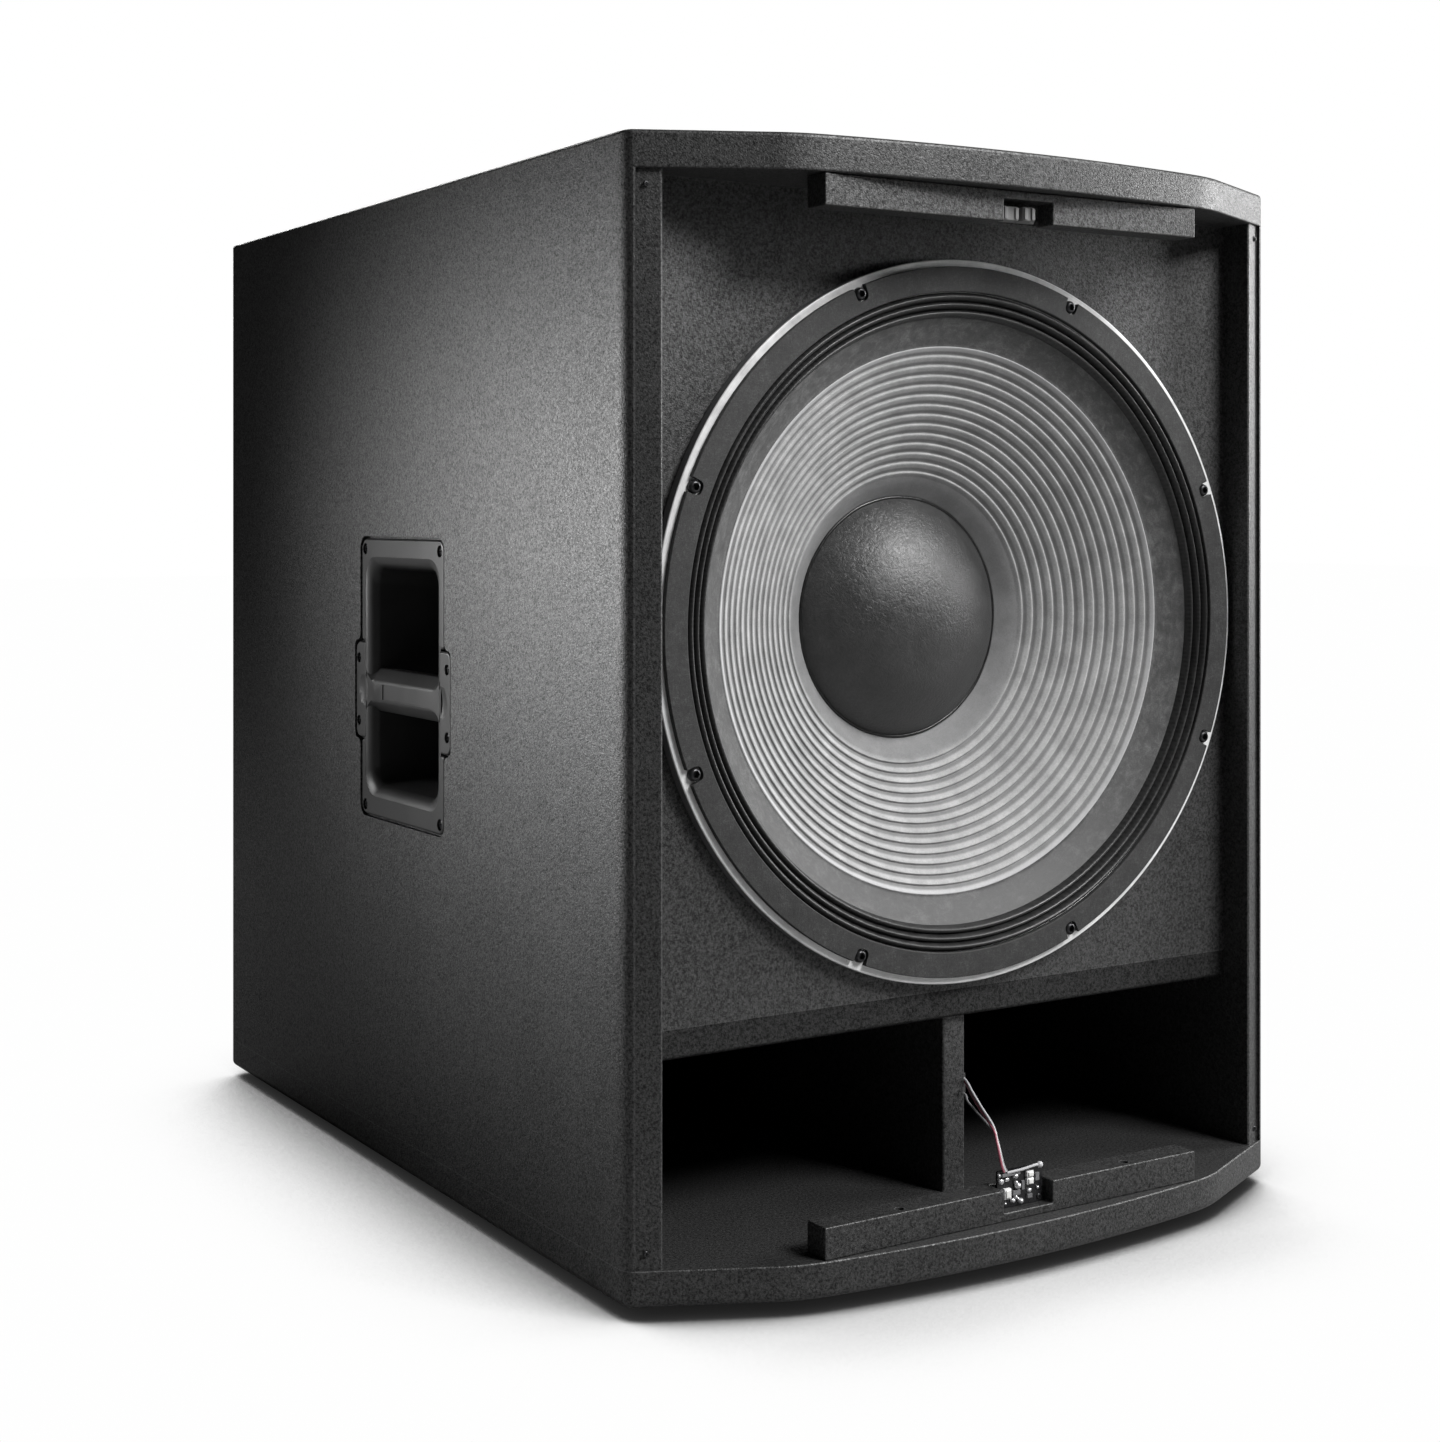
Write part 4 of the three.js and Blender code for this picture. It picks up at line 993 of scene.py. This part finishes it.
def cone_front():
    p = [(51.7, 100), (60, 93.2), (70, 86.4), (77, 81.8), (80, 79.8), (84, 76.5), (88, 73.2), (91.5, 70.5)]
    r, dr = 93.0, 0.31
    while r < 176.6:
        base = 68 + (23.5 - 68) * (r - 95) / (175.4 - 95)
        f = 0.5 + 0.5 * math.cos(2 * math.pi * (r - RIB0) / PITCH)
        amp = 3.0 * max(0, min(1, (r - 92.5) / 2.5)) * max(0, min(1, (177.4 - r) / 1.8))
        h = amp * (f ** 0.85) - 0.55 * amp
        p.append((r + h * 0.38, base - h * 0.80 + 0.5))
        r += dr
    for r in (178.5, 182, 186, 190, 194.2):
        p.append((r, 23.3 + (12.1 - 23.3) * (r - 176.5) / (194.2 - 176.5) + 0.55 * math.sin(math.pi * (r - 176.5) / 17.7)))
    return p


cf = cone_front()
back = [(194.2, 13.6), (176, 25.9), (95, 70.9), (80, 82.4), (51.7, 102.5)]
ob = raw("cone_paper_body", [lathe(cf + back, n_big)])
finish_piece(ob, [CONE, CONE_EDGE], body="cone_assembly", slot="cone_paper", stands=["cone"], angle=60, weighted=False,
             face_mat=lambda c: 1 if math.hypot(c.x, c.z - (DZ + Z0) / 1000) > 0.1772 else 0)

cap_r, rise = 79.5, 38.0
Rc = (cap_r ** 2 + rise ** 2) / (2 * rise)
capf = [(max(1e-3, r), 79.5 - rise + (Rc - math.sqrt(Rc * Rc - r * r))) for r in [cap_r * k / 40 for k in range(41)]]
ob = raw("dust_cap_dome", [lathe(capf + [(r - (1.0 if r > 70 else 0.0), y + 1.2) for r, y in reversed(capf)], 192)])
finish_piece(ob, CAP, body="cone_assembly", slot="cap_paper", stands=["dust_cap"], angle=60, weighted=False)
bead = [(79.6 + 1.15 * math.cos(a), 79.2 + 1.0 * math.sin(a)) for a in [2 * math.pi * k / 14 for k in range(14)]]
piece("cap_glue_bead", [lathe(bead, 192, wob=lambda r, y, t: 0.12 * math.sin(7 * t) + 0.1 * math.sin(19 * t + 1))], GLUE,
      body="cone_assembly", slot="cap_paper", angle=60, weighted=False)

coil = [(50.2, 98), (51.2, 98), (51.2, 146)]
for k in range(34):
    coil += [(51.9, 146.4 + k), (52.4, 146.9 + k)]
coil += [(52.0, 180), (50.2, 180)]
piece("voice_coil_wound", [lathe(coil, 160)], COPPER, body="cone_assembly", slot="coil_copper", stands=["voice_coil"])


def spider_front():
    p = [(51.7, 121), (56, 121)]
    for k in range(0, 121):
        r = 58 + 66 * k / 120
        p.append((r, 121 + 2.0 * math.sin(2 * math.pi * (r - 58) / 11.0) * min(1, (r - 56) / 6, (126 - r) / 6) + (123.4 - 121) * (r - 58) / 66))
    return p + [(130, 123.7)]


spf = spider_front()
ob = raw("spider_rolls", [lathe(spf + [(r, y + 0.8) for r, y in reversed(spf)], 160)])
finish_piece(ob, SPIDER, body=None, slot="spider_cloth", stands=["spider"], angle=60, weighted=False)
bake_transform(ob, "cabinet", "cone_assembly", start=(0.126, 0, (DZ + Z0) / 1000), end=(0.056, 0, (DZ + Z0) / 1000))
radial_blend(ob, 126, 56)

piece("motor_top_plate", [lathe(fillet([(53.6, 158), (112, 158), (112, 168), (53.6, 168)], 0.8, 3), 160)], STEEL_ZINC, slot="plated_steel", stands=["top_plate"])
piece("motor_magnet", [lathe(fillet([(60, 168), (110, 168), (110, 206), (60, 206)], 1.5, 3), 160)], FERRITE, slot="ferrite", stands=["magnet"])
piece("motor_pole_and_back_plate", [lathe(fillet([(15, 157), (49, 157), (49, 206), (106, 206), (106, 216), (15, 216)], [1, 1, 0.4, 1.5, 1.5, 2], 3), 160)], STEEL_ZINC, slot="plated_steel", stands=["pole_piece"])



# ------------------------------------------------------------------ handles
for s, side in ((-1, "left"), (1, "right")):
    X = lambda d, s=s: s * (256 - d)
    up = fillet([(HY - 70.3, 366.6), (HY + 70.3, 366.6), (HY + 70.3, 440.3), (HY - 70.3, 440.3)], [2.2, 2.2, 8, 8], 6)
    low = fillet([(HY - 70.3, 241.7), (HY + 70.3, 241.7), (HY + 70.3, 295.4), (HY - 70.3, 295.4)], [8, 8, 2.2, 2.2], 6)

    def fun(steps):
        return layers("x", [(rrect(y0, y1, z0, z1, r, 6), X(d)) for d, y0, y1, z0, z1, r in steps])

    def flared(zt, zb, r, y0, y1, g=0.0):
        """Bar outline whose ends sweep up and down into the plates."""
        top, low_ = [], []
        for k in range(9):
            t = math.pi / 2 * k / 8
            top.append((y0 + r * (1 - math.cos(t)) * 1.0, zt + g + r * (1 - math.sin(t))))
            low_.append((y0 + r * (1 - math.cos(t)) * 1.0, zb - g - r * (1 - math.sin(t))))
        m = y0 + y1
        return low_[::1] + [(m - y, z) for y, z in low_[::-1]] + [(m - y, z) for y, z in top] + top[::-1]

    def bar_shell(g=0.0, d0=0.9):
        st = [(d0, 337.2, 325.0, 17.5), (2.2, 339.4, 322.8, 16.5), (7.4, 346.2, 316.6, 13.0), (9.0, 346.9, 315.9, 12.5), (16 + g, 346.9, 315.9, 12.5)]
        return layers("x", [(flared(zt, zb, r, 249.6 - g, 380.4 + g, g), X(d)) for d, zt, zb, r in st])

    cup = raw(side + "_handle_cup_moulded", [soft_prism("x", up, X(4), X(0.5), 1.9, 4, both=False)])
    carve(cup, [soft_prism("x", low, X(4), X(0.5), 1.9, 4, both=False)], "UNION")
    carve(cup, [fun([(0.9, 250.5, 379.5, 254.5, 428.5, 15), (72.5, 260.5, 369.5, 267.5, 415.5, 12)])], "UNION")
    carve(cup, [fun([(-1, 251.6, 378.4, 255.6, 427.4, 16), (0.6, 251.9, 378.1, 255.9, 427.1, 16), (1.1, 254.0, 376.0, 257.7, 425.3, 15.5), (2.4, 257.2, 372.8, 260.3, 422.7, 14.5), (4.6, 259.9, 370.1, 262.6, 420.4, 13.5), (8.4, 261.4, 368.6, 264.2, 418.8, 12.5), (70, 264, 366, 270, 413, 11)])])
    corner = [(HY + a * 63.5, z) for a in (-1, 1) for z in (432.6, 248.6)]
    carve(cup, [[prism("x", circle(4.1, 28, c), X(-1), X(2.7)) for c in corner]])
    finish_piece(cup, PLASTIC, slot="moulded_plastic", stands=[side + "_handle_cup"], angle=35)

    wing = fillet([(HY + 62.6, 296.4), (HY + 80.4, 296.4), (HY + 80.4, 365.6), (HY + 62.6, 365.6)], [2, 6.5, 6.5, 2], 6)
    grip = raw(side + "_grip_moulded", [soft_prism("x", wing, X(4), X(0.5), 1.6, 4, both=False)])
    wing2 = [(2 * HY - y, z) for y, z in wing]

    carve(grip, [soft_prism("x", wing2, X(4), X(0.5), 1.6, 4, both=False)], "UNION")
    carve(grip, [bar_shell()], "UNION")
    # the bar flares into its end plates: a smooth hollow at each end
    dimples = []
    for a in (-1, 1):
        v, f = blob((0, 0, 0), 1.0, n=36)
        dimples.append(([(X(-2.4) + p[0] * 4.3, HY + a * 66.5 + p[1] * 11.5, 331 + p[2] * 16) for p in v], f))
    carve(grip, [dimples])
    carve(grip, [prism("x", rrect(277, 349, 325.6, 336.4, 1.0, 3), X(-1), X(1.5))])
    waist = [(HY + a * 75.0, z) for a in (-1, 1) for z in (353.6, 308.2)]
    carve(grip, [[prism("x", circle(3.7, 28, c), X(-1), X(2.7)) for c in waist]])
    finish_piece(grip, PLASTIC, slot="moulded_plastic", stands=[side + "_grip_bar"], angle=35)
    piece(side + "_handle_screws", [screw((X(2.7), y, z), "x", s, 3.3 if k < 4 else 2.9, 1.3) for k, (y, z) in enumerate(corner + waist)], BOLT_BLACK, slot="black_steel")

# ------------------------------------------------------------------ amplifier panel
F0 = 633.0
edge_pts = [(-130, 205), (-65, 205), (0, 205), (65, 205), (130, 205), (-130, 565), (-45, 567), (45, 567), (130, 565), (-132, 300), (-132, 390), (-132, 480), (132, 300), (132, 390), (132, 480)]
piece("plate_screws", [screw((x, F0, z), "y", 1, 3.2, 1.7) for x, z in edge_pts], BOLT_BLACK, slot="black_steel")
ticks = []
for x, z in ((0, 350), (0, 300)):
    for k in range(11):
        a = math.radians(-150 + 30 * k) + math.pi / 2
        c, sn = math.cos(a), math.sin(a)
        L = 3.2 if k in (0, 5, 10) else 2.0
        q = [(12.2, -0.35), (12.2 + L, -0.35), (12.2 + L, 0.35), (12.2, 0.35)]
        ticks.append(prism("y", [(x + u * c - w * sn, z + u * sn + w * c) for u, w in q], F0 - 0.05, F0 + 0.12))
# printed frames round the sockets and the controls
for x0, x1, z0, z1 in ((26, 104, 276, 376), (-22, 22, 276, 376), (-66, -34, 276, 376), (-128, -52, 208, 268)):
    o, i = rrect(x0, x1, z0, z1, 4, 5), rrect(x0 + 0.6, x1 - 0.6, z0 + 0.6, z1 - 0.6, 3.4, 5)
    ticks.append(loft([[(p[0], F0 - 0.05, p[1]) for p in o], [(p[0], F0 + 0.1, p[1]) for p in o], [(p[0], F0 + 0.1, p[1]) for p in i], [(p[0], F0 - 0.05, p[1]) for p in i], [(p[0], F0 - 0.05, p[1]) for p in o]], caps=False))
piece("dial_marks", ticks, PRINT, slot="bright_metal", weighted=False)
lamps = [(-100, 350), (-100, 330), (-100, 310)]
piece("indicator_bezels", [lathe(fillet([(2.1, F0 - 0.3), (3.2, F0 - 0.3), (3.2, F0 + 0.8), (2.1, F0 + 0.8)], 0.25, 2), 40, c) for c in lamps], NICKEL, slot="bright_metal")
for k, c in enumerate(lamps):
    dome = [(max(1e-3, 2.0 * math.sin(t)), F0 + 0.2 + 1.1 * math.cos(t)) for t in [math.pi / 2 * j / 6 for j in range(7)]]
    piece("indicator_lens_%d" % (k + 1), [lathe([(1e-3, F0 - 0.2)] + dome[::1] + [(2.0, F0 - 0.2)], 32, c)], LAMP_RED if k == 2 else LAMP_OFF, slot="circuit_board", weighted=False)


def jack_frame(x, z):
    o = rrect(x - 13, x + 13, z - 15.5, z + 15.5, 2.6, 5)
    return soft_prism("y", o, F0, F0 + 2, 0.5, 2, both=False)


for name, x, z in (("input_jack_left", 85, 350), ("input_jack_right", 45, 350), ("output_jack_left", 85, 300), ("output_jack_right", 45, 300)):
    inp = name.startswith("input")
    ob = raw(name + "_moulded", [jack_frame(x, z)])
    carve(ob, [prism("y", circle(11, 72, (x, z)), 612, F0 + 1.0)], "UNION")
    if inp:
        carve(ob, [lathe([(9.4, F0 + 0.6), (10.6, F0 + 0.6), (10.6, F0 + 4), (9.4, F0 + 4)], 72, (x, z))])
        pins = [(x + 5 * math.cos(math.radians(d)), z - 1 + 5 * math.sin(math.radians(d))) for d in (-150, -30, 90)]
        carve(ob, [[prism("y", circle(1.5, 24, p), 622, F0 + 4) for p in pins] + [cube(x - 5.6, x + 5.6, 611, F0 + 4, z + 11.1, z + 14.9)]])
    else:
        carve(ob, [prism("y", circle(9, 72, (x, z)), 618, F0 + 4)])
        pins = [(x + 4.4 * math.cos(math.radians(d)), z + 4.4 * math.sin(math.radians(d))) for d in (150, 30, -90)]
        piece(name + "_pins", [lathe([(1e-3, 617.5), (1.2, 617.5), (1.2, 630.2), (0.7, 631), (1e-3, 631)], 24, p) for p in pins], NICKEL, slot="bright_metal", weighted=False)
    carve(ob, [[prism("y", circle(1.9, 24, (x + a * 9.6, z + b * 12.2)), F0 + 1.1, F0 + 4) for a, b in (((1, -1), (-1, -1)) if inp else ((1, 1), (-1, -1)))]])
    finish_piece(ob, PLASTIC_FINE, slot="control_plastic", stands=[name])
    piece(name + "_screws", [screw((x + a * 9.6, F0 + 1.1, z + b * 12.2), "y", 1, 1.75, 0.9) for a, b in (((1, -1), (-1, -1)) if inp else ((1, 1), (-1, -1)))], NICKEL, slot="bright_metal")
    if inp:
        tab = fillet([(614, z + 11.6), (636.6, z + 11.6), (636.6, z + 14.3), (614, z + 14.3)], [0.2, 0.9, 0.9, 0.2], 3)
        bn = "release_tab" + name[10:]
        piece(bn + "_pressed_metal", [prism("x", tab, x - 5, x + 5)], STEEL_ZINC, body=bn, slot="bright_metal", stands=[bn])

for name, x, z in (("level_knob", 0, 350), ("crossover_knob", 0, 300)):
    n = 96
    flute = lambda t: 0.32 * math.cos(24 * t)
    prof = [(8.2, F0 + 0.6, 0.2), (9.0, F0 + 1.2, 0.6), (9.0, F0 + 4, 1), (8.8, F0 + 9.5, 1), (8.3, F0 + 12.2, 0.7), (7.6, F0 + 13, 0.2), (6.8, F0 + 13, 0), (6.5, F0 + 14.6, 0), (6.0, F0 + 15, 0)]
    rings = [[(x + (r + k * flute(2 * math.pi * i / n)) * math.cos(2 * math.pi * i / n), y, z + (r + k * flute(2 * math.pi * i / n)) * math.sin(2 * math.pi * i / n)) for i in range(n)] for r, y, k in prof]
    kn = raw(name + "_fluted", [loft(rings)])
    carve(kn, [lathe([(1e-3, 611.4), (3, 611.4), (3, F0 + 3), (1e-3, F0 + 3)], 32, (x, z))], "UNION")
    carve(kn, [cube(x - 0.6, x + 0.6, F0 + 14.3, F0 + 17, z + 0.5, z + 7)])
    finish_piece(kn, PLASTIC_FINE, body=name, slot="control_plastic", stands=[name], angle=40)
    piece(name + "_pointer", [soft_cube(x - 0.55, x + 0.55, F0 + 14.0, F0 + 15.1, z + 0.6, z + 6.6, 0.1, 1)], PRINT, body=name, slot="bright_metal")
for name, x, z in (("phase_button", -50, 350), ("ground_lift_button", -50, 300)):
    cap = [(1e-3, F0 + 5), (2.4, F0 + 4.95), (3.5, F0 + 4.7), (3.95, F0 + 4.2), (4.1, F0 + 3.6), (4.1, 628), (2, 628), (2, 619), (1e-3, 619)]
    piece(name + "_cap", [lathe(cap, 48, (x, z))], PLASTIC_FINE, body=name, slot="control_plastic", stands=[name])
    piece(name + "_collar", [lathe(fillet([(4.7, F0 - 0.2), (6.2, F0 - 0.2), (6.0, F0 + 1.0), (4.7, F0 + 1.0)], 0.3, 2), 48, (x, z))], STEEL_ZINC, slot="plated_steel")

# mains module
mx, mz = -90.0, 237.0
inlet = raw("mains_module_moulded", [soft_prism("y", rrect(mx - 30, mx + 30, mz - 22, mz + 22, 3, 5), F0, F0 + 2.5, 0.7, 3, both=False)])
carve(inlet, [cube(mx - 27, mx + 27, 606, F0 + 1, mz - 19, mz + 19)], "UNION")
sock = fillet([(mx - 24, mz - 8.2), (mx, mz - 8.2), (mx, mz + 4), (mx - 4, mz + 8.2), (mx - 20, mz + 8.2), (mx - 24, mz + 4)], [1.5, 1.5, 1.2, 1.2, 1.2, 1.2], 4)
carve(inlet, [prism("y", sock, 619, F0 + 4)])
carve(inlet, [cube(mx + 6, mx + 20, 619, F0 + 4, mz - 12.2, mz + 12.2)])
bevel(inlet, 0.35, 2, 50)
finish_piece(inlet, PLASTIC_FINE, slot="control_plastic", stands=["mains_inlet"])
piece("mains_blades", [soft_cube(mx - 19, mx - 17, 618.5, 632, mz - 4, mz, 0.3), soft_cube(mx - 7, mx - 5, 618.5, 632, mz - 4, mz, 0.3), soft_cube(mx - 13, mx - 11, 618.5, 633, mz + 1, mz + 5, 0.3)], NICKEL, slot="bright_metal")
piece("mains_screws", [screw((mx + a * 26.4, F0 + 2.5, mz + b * 18.4), "y", 1, 1.9, 0.9) for a in (-1, 1) for b in (-1, 1)], BOLT_BLACK, slot="black_steel")

# ------------------------------------------------------------------ pole socket, feet
sp_ = fillet([(1e-3, 590), (21.5, 590), (21.5, 677), (38, 677), (38, 680), (19.5, 680), (18, 678.5), (18, 593), (1e-3, 593)], [0, 1.5, 0.4, 0.6, 0.9, 0.6, 0.3, 1, 0], 3)
ps = raw("pole_socket_pressed", [lathe(sp_, 128, (0, 320), "z")])
scr = [(30 * math.cos(a), 320 + 30 * math.sin(a)) for a in (math.pi / 4, 3 * math.pi / 4, 5 * math.pi / 4, 7 * math.pi / 4)]
carve(ps, [[prism("z", circle(3.6, 28, c), 678.2, 682) for c in scr]])
finish_piece(ps, STEEL_BLACK, slot="black_steel", stands=["pole_socket"])
piece("pole_socket_screws", [screw((c[0], c[1], 678.2), "z", 1, 3.1, 1.4) for c in scr], BOLT_BLACK, slot="black_steel")
for nm, x, y in (("foot_front_left", -205, 25), ("foot_front_right", 205, 25), ("foot_rear_left", -205, 610), ("foot_rear_right", 205, 610)):
    fp = fillet([(6, -8), (17, -8), (19, -5.5), (19, 0), (3, 0), (3, -3), (6, -3)], [0.6, 1.4, 1.4, 0.3, 0.2, 0.2, 0.2], 4)
    piece(nm + "_rubber", [lathe(fp, 72, (x, y), "z")], RUBBER, slot="foot_rubber", stands=[nm])
    piece(nm + "_screw", [screw((x, y, -3.0), "z", -1, 4.2, 2.0)], STEEL_ZINC, slot="plated_steel")

# ------------------------------------------------------------------ carried-over nodes
def keep(node, mat, bev=None):
    o = NODES[node]
    o.data.materials.clear()
    o.data.materials.append(mat)
    if bev:
        m = o.modifiers.new("round", "BEVEL")
        m.width, m.segments, m.limit_method, m.angle_limit = bev / 1000, 2, "ANGLE", math.radians(40)


keep("baffle_board", PAINT)
keep("rear_panel", PAINT)
keep("window_brace", PLY, 1.0)
keep("terminal_block", PLASTIC)
keep("power_transformer", TOROID)
keep("amp_housing", TRAY)
keep("amp_plate", STEEL_BLACK, 0.4)
keep("heatsink", ANODISED, 0.25)
keep("amp_circuit_board", PCB_GREEN)
keep("speaker_cable", WIRE_BLACK)
keep("power_rocker", PLASTIC_FINE, 0.5)

# ------------------------------------------------------------------ stage: floor, lights, camera
floor_me = bpy.data.meshes.new("floor")
S = 14.0
floor_me.from_pydata([(-S, -S, 0), (S, -S, 0), (S, S, 0), (-S, S, 0)], [], [(0, 1, 2, 3)])
floor = bpy.data.objects.new("floor", floor_me)
bpy.context.scene.collection.objects.link(floor)
# the floor glows plain pale for the camera with a painted contact shadow: its darkening near the box comes from
# occlusion and a lean by position, not from the lights
fm = Mat("pale_floor_painted_shadow", base=(0.30, 0.30, 0.30), rough=0.85, spec=0.1)
lp = fm.add("ShaderNodeLightPath")
ao = fm.add("ShaderNodeAmbientOcclusion", samples=12)
ao.inputs["Distance"].default_value = 0.26
grain = fm.noise(900, 2)
fx, fy, _ = fm.xyz()
fx = fm.math("ABSOLUTE", fx)
side = fm.span(fx, 0.20, 0.34, 0.0, 0.06, True)
fore = fm.math("MULTIPLY", fm.span(fy, -0.34, -0.42, 0.0, 0.08, True), fm.span(fx, 0.16, 0.32, 1.0, 0.0, True))
painted_shadow_lean = fm.math("SUBTRACT", fm.math("ADD", ao.outputs["AO"], side), fore)
shade = fm.ramp(painted_shadow_lean, [(0.0, 0.01), (0.46, 0.04), (0.56, 0.24), (0.64, 0.66), (0.73, 0.94), (0.84, 1.0)])
em = fm.add("ShaderNodeEmission")
fm.wire(em, "Color", fm.mix(0.015, shade, grain, "MULTIPLY"))
ms = fm.add("ShaderNodeMixShader")
fm.t.links.new(lp.outputs["Is Camera Ray"], ms.inputs[0])
fm.t.links.new(fm.b.outputs[0], ms.inputs[1])
fm.t.links.new(em.outputs[0], ms.inputs[2])
fm.t.links.new(ms.outputs[0], fm.t.nodes["Material Output"].inputs["Surface"])
floor_me.materials.append(fm.done())

world = bpy.data.worlds.new("studio")
bpy.context.scene.world = world
world.use_nodes = True
wt = world.node_tree
bg = wt.nodes["Background"]
wl = wt.nodes.new("ShaderNodeLightPath")
wm = wt.nodes.new("ShaderNodeMix")
wm.data_type = "RGBA"
wt.links.new(wl.outputs["Is Camera Ray"], wm.inputs[0])
wm.inputs[6].default_value = (0.036, 0.036, 0.036, 1)
wm.inputs[7].default_value = (1.0, 1.0, 1.0, 1)
wt.links.new(wm.outputs[2], bg.inputs["Color"])
bg.inputs["Strength"].default_value = 1.0


def area(name, loc, target, size, power, size_y=None, spread=180):
    l = bpy.data.lights.new(name, "AREA")
    l.energy = power
    l.shape = "RECTANGLE" if size_y else "SQUARE"
    l.size = size
    l.spread = math.radians(spread)
    if size_y:
        l.size_y = size_y
    o = bpy.data.objects.new(name, l)
    bpy.context.scene.collection.objects.link(o)
    o.location = loc
    o.rotation_euler = (Vector(target) - Vector(loc)).to_track_quat("-Z", "Y").to_euler()
    return o


area("front_high", (0.93, -1.97, 2.18), (0.0, -0.3, 0.42), 1.0, 102)
area("right_low", (1.95, -0.66, 0.90), (0.0, -0.3, 0.42), 0.8, 34)
area("side_left", (-1.15, 0.75, 0.53), (-0.256, -0.385, 0.345), 0.30, 0.86, spread=39)
area("back_soft", (0.55, 2.30, 1.35), (0.0, 0.35, 0.35), 1.2, 60)

cd = bpy.data.cameras.new("camera")
cam = bpy.data.objects.new("camera", cd)
bpy.context.scene.collection.objects.link(cam)
cam.location = (-0.87857, -1.40208, 0.46796)
cam.rotation_euler = (math.pi / 2, 0, -0.55779)
cd.sensor_width = 36
cd.lens = 54.86
cd.clip_start, cd.clip_end = 0.05, 60
cd.shift_x = 0.0011
# the level camera looks down through a vertical lens shift; the shift belongs to this viewpoint only,
# so it is tied to the camera's own turn and lets go when the camera is turned elsewhere
dr = cd.driver_add("shift_y")
for m_ in list(dr.modifiers):
    dr.modifiers.remove(m_)
dr.driver.type = "AVERAGE"
va = dr.driver.variables.new()
va.type = "SINGLE_PROP"
va.targets[0].id_type = "OBJECT"
va.targets[0].id = cam
va.targets[0].data_path = "rotation_quaternion[0]"
dr.extrapolation = "CONSTANT"
for x, y in ((0.0, 0.0), (0.975, 0.0), (0.985, -0.1458), (1.0, -0.1458)):
    kp = dr.keyframe_points.insert(x, y)
    kp.interpolation = "LINEAR"
cd.shift_y = -0.1458
bpy.context.scene.camera = cam
bpy.context.scene.view_settings.view_transform = "Standard"
bpy.context.scene.view_settings.look = "None"
